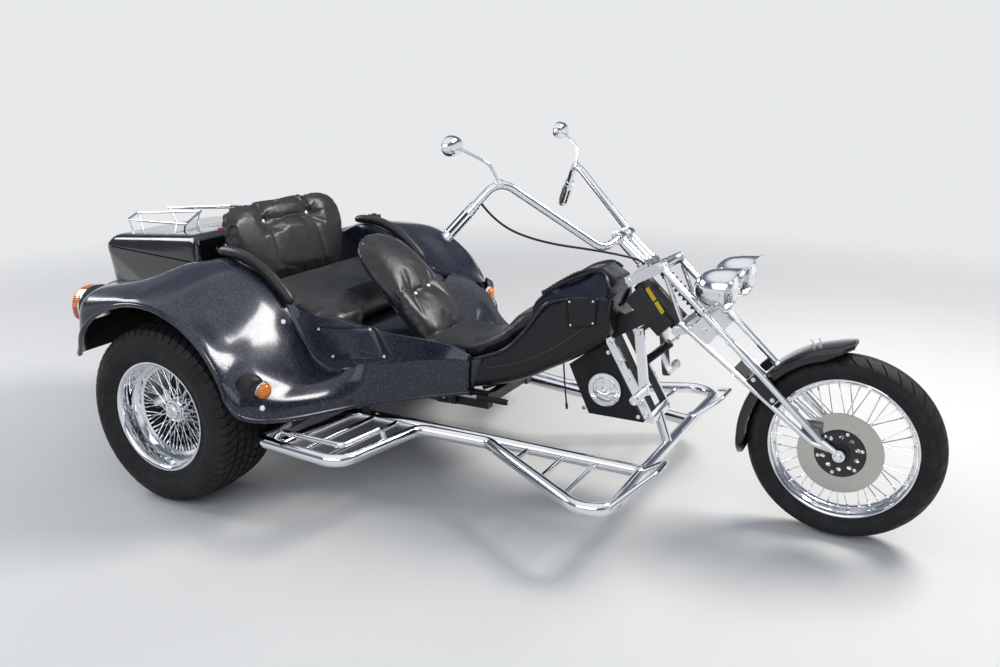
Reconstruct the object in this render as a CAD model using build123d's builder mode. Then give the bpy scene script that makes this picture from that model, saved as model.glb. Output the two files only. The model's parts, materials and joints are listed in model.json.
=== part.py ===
"""Motorized trike: raked girder fork in front, two wide wheels under a moulded body behind.

Millimetres, +X forward, +Y to the rider's left, +Z up.  The origin is on the ground,
under the middle of the vehicle's length and width.
"""
import math
import os

from build123d import *

# Driving dimensions of the whole vehicle
WHEELBASE = 2255.0
TRACK = 1565.0
BODY_WIDTH = 1880.0
TAIL = 930.0              # boot's rearmost point behind the rear axle
PLATE_STAND = 20.0        # number plate's face behind the boot

# Tyres and rims
REAR_TYRE_R = 338.0
REAR_TYRE_W = 295.0
REAR_RIM_R = 208.0
REAR_RIM_HALF = 129.5     # tyre's middle to the rim's outer lip
FRONT_TYRE_R = 326.0
FRONT_TYRE_W = 122.0
FRONT_RIM_R = 247.5
FRONT_RIM_HALF = 47.0
TYRE_WALL = 14.0
RIM_WALL = 4.0
AXLE_FIT = 0.05           # radial clearance of a shaft in its hub or bore
SOFT_GAP = 0.3            # clearance between a cushion and what is beside it

# Steering: the head's centre, its rake from the vertical and its parts
RAKE = 47.5
HEAD_BEHIND_AXLE = 670.0
HEAD_Z = 755.0
HEAD_LENGTH = 200.0
STEM_R = 16.0
LEG_Y = 100.0
LEG_R = 12.5
FRONT_AXLE_R = 10.0

# Tubes and bars
STEP_TUBE_R = 22.5
RUNG_R = 10.0
FRAME_W = 40.0
FRAME_H = 60.0
FRAME_Z = 330.0           # middle of the lower frame rails
RAIL_Y = 170.0
CROSS_TUBE_R = 30.0
BAR_R = 14.0              # handlebar
SHELL_WALL = 6.0
BOOT_WALL = 5.0
ARCH_R = 405.0

# Stations worked out from them
REAR_X = (TAIL + PLATE_STAND - FRONT_TYRE_R - WHEELBASE) / 2
FRONT_X = REAR_X + WHEELBASE
REAR_WHEEL_Y = TRACK / 2
SIDES = {"right": -1, "left": 1}

os.makedirs("parts", exist_ok=True)


def behind(distance):
    """Station a distance behind the rear axle."""
    return REAR_X - distance


def ahead(distance):
    """Station a distance ahead of the rear axle."""
    return REAR_X + distance


def front(distance):
    """Station a distance behind the front axle."""
    return FRONT_X - distance


HEAD = Vector(front(HEAD_BEHIND_AXLE), 0, HEAD_Z)
DOWN_FORK = Vector(math.sin(math.radians(RAKE)), 0, -math.cos(math.radians(RAKE)))
OFF_FORK = Vector(math.cos(math.radians(RAKE)), 0, math.sin(math.radians(RAKE)))


def fork(down, off, y=0.0):
    """Point down the steering axis from the head, off it towards the front, and across."""
    return HEAD + DOWN_FORK * down + OFF_FORK * off + Vector(0, y, 0)


def side_plane(y):
    """Sketch plane seen from the vehicle's right: local x forward, local y up."""
    return Plane(origin=(0, y, 0), x_dir=(1, 0, 0), z_dir=(0, -1, 0))


def rod(start, end, radius):
    """A straight round bar."""
    start, end = Vector(start), Vector(end)
    with BuildPart() as piece:
        with BuildSketch(Plane(origin=start, z_dir=end - start)):
            Circle(radius)
        extrude(amount=(end - start).length)
    return piece.part


def bar(start, end, across, thick, side=(0, 1, 0)):
    """A straight flat or square bar, its thickness along the side direction."""
    start, end = Vector(start), Vector(end)
    with BuildPart() as piece:
        with BuildSketch(Plane(origin=start, x_dir=side, z_dir=end - start)):
            Rectangle(thick, across)
        extrude(amount=(end - start).length)
    return piece.part


def bent_tube(route, bend, radius, closed=False):
    """A round tube of straight runs joined by arcs."""
    with BuildLine() as centre:
        FilletPolyline(*route, radius=bend, close=closed)
    line = centre.line
    with BuildPart() as piece:
        with BuildSketch(Plane(origin=line @ 0, z_dir=line % 0)):
            Circle(radius)
        sweep(path=line)
    return piece.part


def panel(outline, low_y, high_y):
    """A plate or block: a side outline of (x, z) points carried from low_y to high_y."""
    with BuildPart() as piece:
        with BuildSketch(side_plane(high_y)):
            with BuildLine():
                Polyline(*outline, close=True)
            make_face()
        extrude(amount=high_y - low_y)
    return piece.part


def turned(centre, outline):
    """A ring about a wheel's axle, from an outline of (across, radius) points."""
    with BuildPart() as piece:
        with BuildSketch(Plane(origin=centre, x_dir=(0, 1, 0), z_dir=(1, 0, 0))):
            with BuildLine():
                Polyline(*outline, close=True)
            make_face()
        revolve(axis=Axis(centre, (0, 1, 0)))
    return piece.part


def tyre(centre, radius, width, rim_radius, rim_half):
    """A tyre with round shoulders, hollow inside and open where its beads meet the rim."""
    half = width / 2
    bead = rim_radius - 14
    bead_half = rim_half - 6
    tread_half = half * 0.74
    shoulder = radius - half * 0.16
    crown = radius
    waist = (radius + rim_radius) / 2
    inner_half = half - TYRE_WALL
    with BuildPart() as piece:
        with BuildSketch(Plane(origin=centre, x_dir=(0, 1, 0), z_dir=(1, 0, 0))):
            with BuildLine():
                Line((-bead_half, bead), (-bead_half, rim_radius))
                ThreePointArc((-bead_half, rim_radius), (-half, waist), (-tread_half, shoulder))
                ThreePointArc((-tread_half, shoulder), (0, crown), (tread_half, shoulder))
                ThreePointArc((tread_half, shoulder), (half, waist), (bead_half, rim_radius))
                Line((bead_half, rim_radius), (bead_half, bead))
                Line((bead_half, bead), (bead_half - TYRE_WALL, bead))
                Line((bead_half - TYRE_WALL, bead), (bead_half - TYRE_WALL, rim_radius))
                ThreePointArc((bead_half - TYRE_WALL, rim_radius), (inner_half, waist),
                              (tread_half - TYRE_WALL, shoulder - TYRE_WALL))
                ThreePointArc((tread_half - TYRE_WALL, shoulder - TYRE_WALL), (0, crown - TYRE_WALL),
                              (TYRE_WALL - tread_half, shoulder - TYRE_WALL))
                ThreePointArc((TYRE_WALL - tread_half, shoulder - TYRE_WALL), (-inner_half, waist),
                              (TYRE_WALL - bead_half, rim_radius))
                Line((TYRE_WALL - bead_half, rim_radius), (TYRE_WALL - bead_half, bead))
                Line((TYRE_WALL - bead_half, bead), (-bead_half, bead))
            make_face()
        revolve(axis=Axis(centre, (0, 1, 0)))
    return piece.part


def barrel(centre, rim_radius, half, drop, outer_side):
    """A rim's thin barrel with its two lips; the deeper well lies off the outer side."""
    seat = rim_radius - 14
    well = rim_radius - drop
    lip = half - 6
    outline = [
        (-half * outer_side, rim_radius), (-lip * outer_side, rim_radius),
        (-lip * outer_side, seat), (-lip * 0.55 * outer_side, seat),
        (-lip * 0.35 * outer_side, well), (lip * 0.35 * outer_side, well),
        (lip * 0.55 * outer_side, seat), (lip * outer_side, seat),
        (lip * outer_side, rim_radius), (half * outer_side, rim_radius),
        (half * outer_side, seat - RIM_WALL), (lip * 0.57 * outer_side, seat - RIM_WALL),
        (lip * 0.37 * outer_side, well - RIM_WALL), (-lip * 0.37 * outer_side, well - RIM_WALL),
        (-lip * 0.57 * outer_side, seat - RIM_WALL), (-half * outer_side, seat - RIM_WALL),
    ]
    return turned(centre, outline)


def spokes(centre, count, hub_radius, hub_y, rim_radius, rim_y, lean, radius):
    """Round spokes that cross in pairs, from two hub flanges to a rim's well."""
    wires = []
    for number in range(count):
        angle = 360 * number / count
        face = -1 if number % 2 else 1
        turn = lean if number % 4 < 2 else -lean
        low = math.radians(angle + turn)
        high = math.radians(angle)
        inner = Vector(hub_radius * math.cos(low), hub_y[face], hub_radius * math.sin(low))
        outer = Vector(rim_radius * math.cos(high), rim_y[face], rim_radius * math.sin(high))
        wires.append(rod(Vector(centre) + inner, Vector(centre) + outer, radius))
    return wires


# Rear wheels: deep rims with a wire disc set in from the outer lip
REAR_STUB_R = 22.0
REAR_HUB_R = 42.0
REAR_WELL = 38.0
DISC_INSET = 90.0         # outer lip to the wire disc's ring
CAP_R = 30.0
REAR_SPOKES = 24

for side, sign in SIDES.items():
    middle = (REAR_X, sign * REAR_WHEEL_Y, REAR_TYRE_R)
    lip_y = REAR_RIM_HALF * sign
    ring_y = (REAR_RIM_HALF - DISC_INSET) * sign
    ring_r = REAR_RIM_R - REAR_WELL - RIM_WALL

    rear_tyre = tyre(middle, REAR_TYRE_R, REAR_TYRE_W, REAR_RIM_R, REAR_RIM_HALF)
    rear_tyre.label = "rear_tyre_" + side
    export_step(rear_tyre, "parts/rear_tyre_" + side + ".step")

    hub_faces = {1: ring_y + 6 * sign, -1: ring_y - 22 * sign}
    ring_faces = {1: ring_y, -1: ring_y}
    rear_wires = spokes(middle, REAR_SPOKES, REAR_HUB_R - 4, hub_faces, ring_r - 4, ring_faces, 24, 2.5)
    rear_barrel = barrel(middle, REAR_RIM_R, REAR_RIM_HALF, REAR_WELL, sign)
    ring = turned(middle, [(ring_y - 5, ring_r - 8), (ring_y + 5, ring_r - 8),
                           (ring_y + 5, ring_r), (ring_y - 5, ring_r)])
    hub_inner = -70.0 * sign
    hub_outer = ring_y + 14 * sign
    hub = turned(middle, [(hub_inner, REAR_STUB_R + AXLE_FIT), (hub_inner, REAR_HUB_R),
                          (hub_outer, REAR_HUB_R), (hub_outer, REAR_STUB_R + AXLE_FIT)])
    cap = turned(middle, [(hub_outer, 0), (hub_outer, CAP_R), (hub_outer + 12 * sign, CAP_R),
                          (hub_outer + 22 * sign, CAP_R * 0.6), (hub_outer + 22 * sign, 0)])
    with BuildPart() as rear_rim:
        add(rear_barrel)
        add(ring)
        add(hub)
        add(cap)
        for wire in rear_wires:
            add(wire)
    rear_rim.part.label = "rear_rim_" + side
    export_step(rear_rim.part, "parts/rear_rim_" + side + ".step")

# Front wheel: laced rim on a narrow hub, one brake disc on the right
FRONT_HUB_R = 34.0
FRONT_HUB_HALF = 48.0
FRONT_WELL = 22.0
FRONT_SPOKES = 40
DISC_FROM_LEG = 23.5      # disc's middle to the right leg's middle
DISC_Y = DISC_FROM_LEG - LEG_Y
DISC_R = 140.0
DISC_INNER_R = 78.0
DISC_THICK = 5.0
front_middle = (FRONT_X, 0, FRONT_TYRE_R)

front_tyre = tyre(front_middle, FRONT_TYRE_R, FRONT_TYRE_W, FRONT_RIM_R, FRONT_RIM_HALF)
front_tyre.label = "front_tyre"
export_step(front_tyre, "parts/front_tyre.step")

well_r = FRONT_RIM_R - FRONT_WELL - RIM_WALL
front_wires = spokes(front_middle, FRONT_SPOKES, FRONT_HUB_R - 2, {1: 38, -1: -38}, well_r + 2,
                     {1: 4, -1: -4}, 40, 2.0)
front_barrel = barrel(front_middle, FRONT_RIM_R, FRONT_RIM_HALF, FRONT_WELL, 1)
bore = FRONT_AXLE_R + AXLE_FIT
front_hub = turned(front_middle, [(-FRONT_HUB_HALF, bore), (-FRONT_HUB_HALF, FRONT_HUB_R + 10),
                                  (-30, FRONT_HUB_R + 10), (-26, FRONT_HUB_R - 8), (26, FRONT_HUB_R - 8),
                                  (30, FRONT_HUB_R + 10), (FRONT_HUB_HALF, FRONT_HUB_R + 10),
                                  (FRONT_HUB_HALF, bore)])
with BuildPart() as front_rim:
    add(front_barrel)
    add(front_hub)
    for wire in front_wires:
        add(wire)
front_rim.part.label = "front_rim"
export_step(front_rim.part, "parts/front_rim.step")

half_disc = DISC_THICK / 2
disc_ring = turned(front_middle, [(DISC_Y - half_disc, DISC_INNER_R), (DISC_Y + half_disc, DISC_INNER_R),
                                  (DISC_Y + half_disc, DISC_R), (DISC_Y - half_disc, DISC_R)])
carrier = turned(front_middle, [(-FRONT_HUB_HALF, bore), (-FRONT_HUB_HALF, FRONT_HUB_R),
                                (DISC_Y + 4, FRONT_HUB_R), (DISC_Y + 4, DISC_INNER_R),
                                (DISC_Y - 4, DISC_INNER_R), (DISC_Y - 4, bore)])
with BuildPart() as brake_disc:
    add(carrier)
    add(disc_ring)
    with Locations(Plane(origin=(FRONT_X, DISC_Y - 10, FRONT_TYRE_R), z_dir=(0, -1, 0))):
        with PolarLocations(58, 10):
            Hole(8, depth=20)
brake_disc.part.label = "brake_disc"
export_step(brake_disc.part, "parts/brake_disc.step")

# Frame: two lower rails, tubes across them, posts under the seat floor, bars under the
# boot and a backbone that rises to the steering head
RAIL_REAR = ahead(140)
RAIL_FRONT = ahead(980)
REAR_TUBE_X = ahead(385)
REAR_TUBE_Z = 305.0
STEP_TUBE_X = ahead(560)
FLOOR_Z = 560.0           # underside of the passenger seat's floor
DECK_Z = 545.0            # middle of the bars under the boot
DECK_Y = 250.0
DECK_REAR = behind(800)
POST_X = (ahead(160), ahead(455))
STEP_Z = 270.0            # rear bend of the side steps' inner tubes
STEP_Y = 388.0
CLAMP_Y = 650.0
BACKBONE_Y = 30.0
rail_low = FRAME_Z - FRAME_H / 2
rail_top = FRAME_Z + FRAME_H / 2
backbone_foot = Vector(ahead(900), 0, rail_top - 20)
backbone_knee = Vector(ahead(1080), 0, 440)
backbone_head = fork(10, -35)

frame_pieces = []
for sign in SIDES.values():
    frame_pieces += [
        bar((RAIL_REAR, sign * RAIL_Y, FRAME_Z), (RAIL_FRONT, sign * RAIL_Y, FRAME_Z), FRAME_H, FRAME_W),
        bar((POST_X[0], sign * DECK_Y, DECK_Z), (DECK_REAR, sign * DECK_Y, DECK_Z), 30, 30),
        bar((POST_X[0], sign * DECK_Y, DECK_Z), (POST_X[0], sign * RAIL_Y, rail_top), 30, 30, (1, 0, 0)),
        bar((POST_X[1], sign * RAIL_Y, rail_top - 5), (POST_X[1], sign * RAIL_Y, FLOOR_Z), 30, 30),
        rod((REAR_TUBE_X, 0, REAR_TUBE_Z), (REAR_TUBE_X, sign * CLAMP_Y, REAR_TUBE_Z), CROSS_TUBE_R),
        bar((STEP_TUBE_X, sign * (RAIL_Y - 5), FRAME_Z), (STEP_TUBE_X, sign * STEP_Y, FRAME_Z), 40, 40, (1, 0, 0)),
        bar((STEP_TUBE_X, sign * STEP_Y, FRAME_Z), (STEP_TUBE_X, sign * STEP_Y, STEP_Z), 40, 30),
    ]
for station in (ahead(640), ahead(800), RAIL_FRONT - 20):
    frame_pieces.append(bar((station, -RAIL_Y, FRAME_Z), (station, RAIL_Y, FRAME_Z), 40, 30, (1, 0, 0)))
with BuildPart() as main_frame:
    for piece in frame_pieces:
        add(piece)
    add(bar(backbone_foot - Vector(40, 0, 0), backbone_knee, FRAME_H, 2 * BACKBONE_Y))
    add(bar(backbone_knee - Vector(10, 0, 5), backbone_head, FRAME_H, 2 * BACKBONE_Y))

# Gearbox, engine, axle tubes with trailing arms, dampers and exhaust
GEARBOX_Y = 110.0
ENGINE_FRONT = behind(170)
ENGINE_REAR = behind(610)
ENGINE_Y = 235.0
ENGINE_LOW = 215.0
ENGINE_TOP = 520.0
ARM_FROM_TYRE = 135.0     # tyre's inner wall to the trailing arm's middle
ARM_Y = REAR_WHEEL_Y - REAR_TYRE_W / 2 - ARM_FROM_TYRE
axle_tube_end = REAR_WHEEL_Y - 95
rear_face = REAR_TUBE_X - CROSS_TUBE_R

gearbox = panel([(ENGINE_FRONT, 230), (ENGINE_FRONT, 450), (behind(40), 440), (ahead(120), 410),
                 (rear_face, 360), (rear_face, 265), (ahead(80), 225)], -GEARBOX_Y, GEARBOX_Y)
gearbox.label = "gearbox"
export_step(gearbox, "parts/gearbox.step")

with BuildPart() as engine_block:
    with Locations(((ENGINE_FRONT + ENGINE_REAR) / 2, 0, (ENGINE_LOW + ENGINE_TOP) / 2)):
        Box(ENGINE_FRONT - ENGINE_REAR, 2 * ENGINE_Y, ENGINE_TOP - ENGINE_LOW)
engine_block.part.label = "engine_block"
export_step(engine_block.part, "parts/engine_block.step")

AXLE_TUBE_R = 36.0
axle_pieces = []
for sign in SIDES.values():
    hub_face = sign * (REAR_WHEEL_Y - 70)
    axle_pieces += [
        rod((REAR_X, sign * GEARBOX_Y, REAR_TYRE_R), (REAR_X, sign * axle_tube_end, REAR_TYRE_R), AXLE_TUBE_R),
        rod((REAR_X, sign * axle_tube_end, REAR_TYRE_R),
            (REAR_X, sign * (REAR_WHEEL_Y + REAR_RIM_HALF - DISC_INSET + 10), REAR_TYRE_R), REAR_STUB_R),
        bar((REAR_X, sign * ARM_Y, REAR_TYRE_R), (REAR_TUBE_X, sign * ARM_Y, REAR_TUBE_Z), 56, 20),
    ]
with BuildPart() as rear_axle:
    for piece in axle_pieces:
        add(piece)
    add(main_frame.part, mode=Mode.SUBTRACT)
rear_axle.part.label = "rear_axle"
export_step(rear_axle.part, "parts/rear_axle.step")

# Body shell: a moulded skin through cross sections, open below, arches cut out of it
# Columns: station from the rear axle, then (across, up) at the wall's top, crease, crown,
# shoulder, outer edge and lip
BODY_SECTIONS = [
    (-440, (438, 694), (458, 702), (560, 735), (690, 745), (800, 670), (868, 505)),
    (-300, (446, 714), (466, 724), (560, 752), (800, 780), (925, 742), (940, 645)),
    (-100, (458, 830), (478, 836), (600, 842), (800, 805), (925, 775), (940, 735)),
    (-20, (462, 848), (482, 852), (600, 845), (800, 812), (925, 775), (940, 735)),
    (80, (464, 824), (484, 828), (600, 838), (800, 806), (925, 768), (940, 735)),
    (170, (466, 786), (486, 784), (600, 782), (800, 738), (920, 712), (940, 680)),
    (250, (466, 728), (486, 712), (600, 708), (800, 662), (915, 645), (940, 600)),
    (330, (464, 672), (486, 585), (600, 598), (800, 592), (915, 562), (940, 510)),
    (400, (462, 664), (486, 492), (600, 505), (800, 530), (915, 490), (940, 428)),
    (470, (455, 660), (484, 465), (580, 460), (690, 455), (800, 438), (845, 382)),
    (600, (425, 632), (462, 500), (480, 452), (492, 418), (500, 385), (502, 352)),
    (860, (215, 540), (250, 500), (262, 460), (268, 425), (272, 390), (274, 360)),
]


def skin_section(points, sign):
    """A closed strip of the shell's wall: the skin's points out, then back inside them."""
    inner = []
    for index, (across, up) in enumerate(points):
        before = points[max(index - 1, 0)]
        after = points[min(index + 1, len(points) - 1)]
        run = (after[0] - before[0], after[1] - before[1])
        length = math.hypot(*run)
        inner.append((across + run[1] / length * SHELL_WALL, up - run[0] / length * SHELL_WALL))
    return [(sign * across, up) for across, up in list(points) + inner[::-1]]


def fender_shell(sign):
    """One side of the body, from the seat's edge over the wheel to the lip."""
    with BuildPart() as piece:
        for station, *points in BODY_SECTIONS:
            with BuildSketch(Plane(origin=(ahead(station), 0, 0), x_dir=(0, 1, 0), z_dir=(1, 0, 0))):
                with BuildLine():
                    Polyline(*skin_section(points, sign), close=True)
                make_face()
        loft(ruled=True)
    return piece.part


arch_middle = Vector(behind(25), 0, 355)
SEAT_TOP = 690.0          # where the passenger cushion meets its backrest
BACKREST_LEAN = 18.0
BACKREST_T = 85.0
seat_back = Plane(origin=(behind(10), 0, SEAT_TOP), x_dir=(0, 1, 0),
                  z_dir=(math.cos(math.radians(BACKREST_LEAN)), 0, math.sin(math.radians(BACKREST_LEAN))))
wheel_wall = [(ahead(station), crease[1] - 3) for station, _, crease, *_ in BODY_SECTIONS if station <= 170]
wheel_wall += [(ahead(station), top[1] - 3) for station, top, *_ in BODY_SECTIONS if 170 < station <= 400]
wheel_wall += [(ahead(400), FLOOR_Z), (behind(200), FLOOR_Z), (behind(440), 640)]
with BuildPart() as body_shell:
    for sign in SIDES.values():
        add(fender_shell(sign))
        add(panel(wheel_wall, *sorted((sign * 462, sign * 470))))
        with BuildSketch(Plane(origin=(behind(446), 0, 0), x_dir=(0, 1, 0), z_dir=(1, 0, 0))):
            with BuildLine():
                Polyline(*[(sign * across, up - 1) for across, up in BODY_SECTIONS[0][1:]], (sign * 440, 505),
                         close=True)
            make_face()
        extrude(amount=6)
    add(panel([(behind(160), FLOOR_Z), (behind(160), FLOOR_Z + SHELL_WALL), (ahead(470), FLOOR_Z + SHELL_WALL),
               (ahead(470), FLOOR_Z)], -466, 466))
    with BuildSketch(seat_back.offset(-BACKREST_T)):
        with Locations((0, 10)):
            Rectangle(2 * 464, 280)
    extrude(amount=-SHELL_WALL)
    for sign in SIDES.values():
        lip_edge = sign * (BODY_WIDTH / 2 + 20)
        add(rod((arch_middle.X, sign * 880, arch_middle.Z), (arch_middle.X, lip_edge, arch_middle.Z), ARCH_R),
            mode=Mode.SUBTRACT)
body_shell.part.label = "body_shell"
export_step(body_shell.part, "parts/body_shell.step")

# Boot: a tapering tub with a lid on its level seam, hinged on two pins in front
BOOT_FRONT = behind(215)
BOOT_REAR = behind(880)
SEAM_Z = 800.0
BOOT_FLOOR = DECK_Z + 15
BOOT_FRONT_Y = 440.0
BOOT_REAR_Y = 325.0
REAR_BULGE = TAIL - 880
LID_GAP = 5.0
HINGE_R = 6.0
HINGE_Z = 850.0
HINGE_Y = 260.0
KNUCKLE_HALF = 22.0
KNUCKLE_R = 11.0
BRACKET_T = 8.0
hinge_x = BOOT_FRONT + 16
bracket_y = KNUCKLE_HALF + 2


def boot_outline(inset):
    """The boot's plan, drawn inside itself by an inset."""
    front_y, rear_y = BOOT_FRONT_Y - inset, BOOT_REAR_Y - inset
    with BuildLine() as outline:
        Polyline((BOOT_REAR + inset, -rear_y), (BOOT_FRONT - inset, -front_y),
                 (BOOT_FRONT - inset, front_y), (BOOT_REAR + inset, rear_y))
        ThreePointArc((BOOT_REAR + inset, rear_y), (BOOT_REAR - REAR_BULGE + inset, 0),
                      (BOOT_REAR + inset, -rear_y))
    return outline.line


bracket_side = [(BOOT_FRONT - 4, 740), (BOOT_FRONT - 1, 790), (BOOT_FRONT + 6, 798),
                (BOOT_FRONT + 6, HINGE_Z + 9), (BOOT_FRONT + 26, HINGE_Z + 9), (BOOT_FRONT + 26, HINGE_Z - 15),
                (BOOT_FRONT + 8, 740)]
with BuildPart() as boot_tub:
    with BuildSketch(Plane.XY.offset(BOOT_FLOOR)):
        add(boot_outline(12))
        make_face()
    with BuildSketch(Plane.XY.offset(SEAM_Z)):
        add(boot_outline(0))
        make_face()
    loft(ruled=True)
    with BuildSketch(Plane.XY.offset(BOOT_FLOOR + BOOT_WALL)):
        add(boot_outline(12 + BOOT_WALL))
        make_face()
    with BuildSketch(Plane.XY.offset(SEAM_Z)):
        add(boot_outline(BOOT_WALL))
        make_face()
    loft(ruled=True, mode=Mode.SUBTRACT)
    for sign in SIDES.values():
        for inner in (HINGE_Y - bracket_y - BRACKET_T, HINGE_Y + bracket_y):
            add(panel(bracket_side, *sorted((sign * inner, sign * (inner + BRACKET_T)))))
        add(rod((hinge_x, sign * (HINGE_Y - bracket_y - 2), HINGE_Z),
                (hinge_x, sign * (HINGE_Y + bracket_y + 2), HINGE_Z), HINGE_R))
    add(body_shell.part, mode=Mode.SUBTRACT)
boot_tub.part.label = "boot_tub"
export_step(boot_tub.part, "parts/boot_tub.step")

lid_seam = SEAM_Z + LID_GAP
LID_FRONT_TOP = 905.0
LID_REAR_TOP = 850.0
lid_side = [(BOOT_REAR - REAR_BULGE - 10, lid_seam - 10), (BOOT_REAR - REAR_BULGE + 12, lid_seam + 25),
            (BOOT_REAR + 20, LID_REAR_TOP), (BOOT_FRONT - 60, LID_FRONT_TOP),
            (BOOT_FRONT + 10, LID_FRONT_TOP - 14), (BOOT_FRONT + 10, lid_seam - 10)]
lid_inside = [(x + (BOOT_WALL if x < BOOT_FRONT - 100 else -BOOT_WALL), z - BOOT_WALL) for x, z in lid_side]
with BuildPart() as boot_lid:
    with BuildSketch(Plane.XY.offset(lid_seam)):
        add(boot_outline(0))
        make_face()
    with BuildSketch(Plane.XY.offset(lid_seam + 60)):
        add(boot_outline(18))
        make_face()
    with BuildSketch(Plane.XY.offset(lid_seam + 120)):
        add(boot_outline(110))
        make_face()
    loft(ruled=True)
    add(panel(lid_side, -BOOT_FRONT_Y - 10, BOOT_FRONT_Y + 10), mode=Mode.INTERSECT)
with BuildPart() as lid_hollow:
    with BuildSketch(Plane.XY.offset(lid_seam)):
        add(boot_outline(BOOT_WALL))
        make_face()
    with BuildSketch(Plane.XY.offset(lid_seam + 60)):
        add(boot_outline(18 + BOOT_WALL))
        make_face()
    with BuildSketch(Plane.XY.offset(lid_seam + 120)):
        add(boot_outline(110 + BOOT_WALL))
        make_face()
    loft(ruled=True)
    add(panel(lid_inside, -BOOT_FRONT_Y - 10, BOOT_FRONT_Y + 10), mode=Mode.INTERSECT)
with BuildPart() as lid_shell:
    add(boot_lid.part)
    add(lid_hollow.part, mode=Mode.SUBTRACT)
    for sign in SIDES.values():
        start, end = (hinge_x, sign * (HINGE_Y - KNUCKLE_HALF), HINGE_Z), (hinge_x, sign * (HINGE_Y + KNUCKLE_HALF), HINGE_Z)
        add(rod(start, end, KNUCKLE_R))
        add(panel([(BOOT_FRONT - 22, HINGE_Z - 9), (BOOT_FRONT - 22, HINGE_Z + 9), (hinge_x, HINGE_Z + 9),
                   (hinge_x, HINGE_Z - 9)], *sorted((start[1], end[1]))))
        add(rod(start, end, HINGE_R + AXLE_FIT), mode=Mode.SUBTRACT)
lid_shell.part.label = "boot_lid"
export_step(lid_shell.part, "parts/boot_lid.step")

# Luggage rails: one frame each side on four stays, wider in front
RAIL_R = 5.0
# Columns: behind the rear axle, across, up
RAIL_CORNERS = [(920, 93, 912), (860, 205, 900), (420, 285, 925), (520, 93, 948)]
with BuildPart() as luggage_rails:
    for sign in SIDES.values():
        corners = [Vector(behind(x), sign * y, z) for x, y, z in RAIL_CORNERS]
        for start, end in zip(corners, corners[1:] + corners[:1]):
            add(rod(start, end, RAIL_R))
        for corner in corners:
            with Locations(corner):
                Sphere(RAIL_R)
        middle = sum(corners, Vector(0, 0, 0)) / 4
        for corner in corners:
            foot = corner * 0.8 + middle * 0.2
            seat = Vector(foot.X, foot.Y, foot.Z - 95)
            add(rod(corner * 0.97 + middle * 0.03, seat, 4))
    add(boot_lid.part, mode=Mode.SUBTRACT)
    add(lid_hollow.part, mode=Mode.SUBTRACT)
luggage_rails.part.label = "luggage_rails"
export_step(luggage_rails.part, "parts/luggage_rails.step")

# Seats: each a closed solid of the cushion's outer shape
CUSHION_Y = 430.0
cushion_floor = FLOOR_Z + SHELL_WALL
with BuildPart() as passenger_backrest:
    with BuildSketch(seat_back):
        with BuildLine():
            Polyline((-270, 0), (-335, 60), (-405, 185), (-405, 285), (-350, 352), (-240, 380), (240, 380),
                     (350, 352), (405, 285), (405, 185), (335, 60), (270, 0), close=True)
        make_face()
        fillet(vertices(), 35)
    extrude(amount=-BACKREST_T)
passenger_backrest.part.label = "passenger_backrest"
export_step(passenger_backrest.part, "parts/passenger_backrest.step")

with BuildPart() as passenger_cushion:
    add(panel([(behind(38), cushion_floor), (behind(25), SEAT_TOP + 40), (ahead(150), 708), (ahead(320), 686),
               (ahead(440), 655), (ahead(455), 640), (ahead(462), cushion_floor)], -CUSHION_Y, CUSHION_Y))
    add(panel([(ahead(400), 500), (ahead(400), 900), (ahead(600), 900), (ahead(600), 500)], -205, 205),
        mode=Mode.SUBTRACT)
    add(passenger_backrest.part, mode=Mode.SUBTRACT)
passenger_cushion.part.label = "passenger_cushion"
export_step(passenger_cushion.part, "parts/passenger_cushion.step")

# Spine cover: the dark moulding between the body and the steering head
# Columns: station, half width, underside, top
SPINE_SECTIONS = [
    (ahead(640), 245, 362, 470), (ahead(850), 200, 362, 480), (front(1190), 165, 396, 560),
    (front(1005), 150, 482, 660), (front(835), 120, 600, 725),
]
with BuildPart() as spine_solid:
    for station, half, low, top in SPINE_SECTIONS:
        with BuildSketch(Plane(origin=(station, 0, 0), x_dir=(0, 1, 0), z_dir=(1, 0, 0))):
            with BuildLine():
                Polyline((-half * 0.8, low), (half * 0.8, low), (half, low + 25), (half, top - 25),
                         (half * 0.85, top), (-half * 0.85, top), (-half, top - 25), (-half, low + 25),
                         close=True)
            make_face()
    loft(ruled=True)

# Steering head with its bore
HEAD_R = 38.0
head_plane = Plane(origin=fork(-HEAD_LENGTH / 2, 0), x_dir=(0, 1, 0), z_dir=DOWN_FORK)
HEAD_BOX_REAR = 78.0
with BuildPart() as neck:
    with BuildSketch(head_plane):
        Circle(HEAD_R)
    extrude(amount=HEAD_LENGTH)
    with BuildSketch(Plane(origin=fork(-HEAD_LENGTH / 2 + 12, -HEAD_BOX_REAR / 2), x_dir=(0, 1, 0),
                           z_dir=DOWN_FORK)):
        Rectangle(104, HEAD_BOX_REAR)
    extrude(amount=HEAD_LENGTH - 24)
    with BuildSketch(head_plane):
        Circle(STEM_R + AXLE_FIT)
    extrude(amount=HEAD_LENGTH, mode=Mode.SUBTRACT)
neck.part.label = "neck"
export_step(neck.part, "parts/neck.step")

with BuildPart() as frame_cut:
    add(main_frame.part)
    add(neck.part, mode=Mode.SUBTRACT)
    add(body_shell.part, mode=Mode.SUBTRACT)
frame_cut.part.label = "main_frame"
export_step(frame_cut.part, "parts/main_frame.step")

with BuildPart() as spine_cover:
    add(spine_solid.part)
    for cutter in (frame_cut.part, neck.part, body_shell.part):
        add(cutter, mode=Mode.SUBTRACT)
spine_cover.part.label = "spine_cover"
export_step(spine_cover.part, "parts/spine_cover.step")

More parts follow.
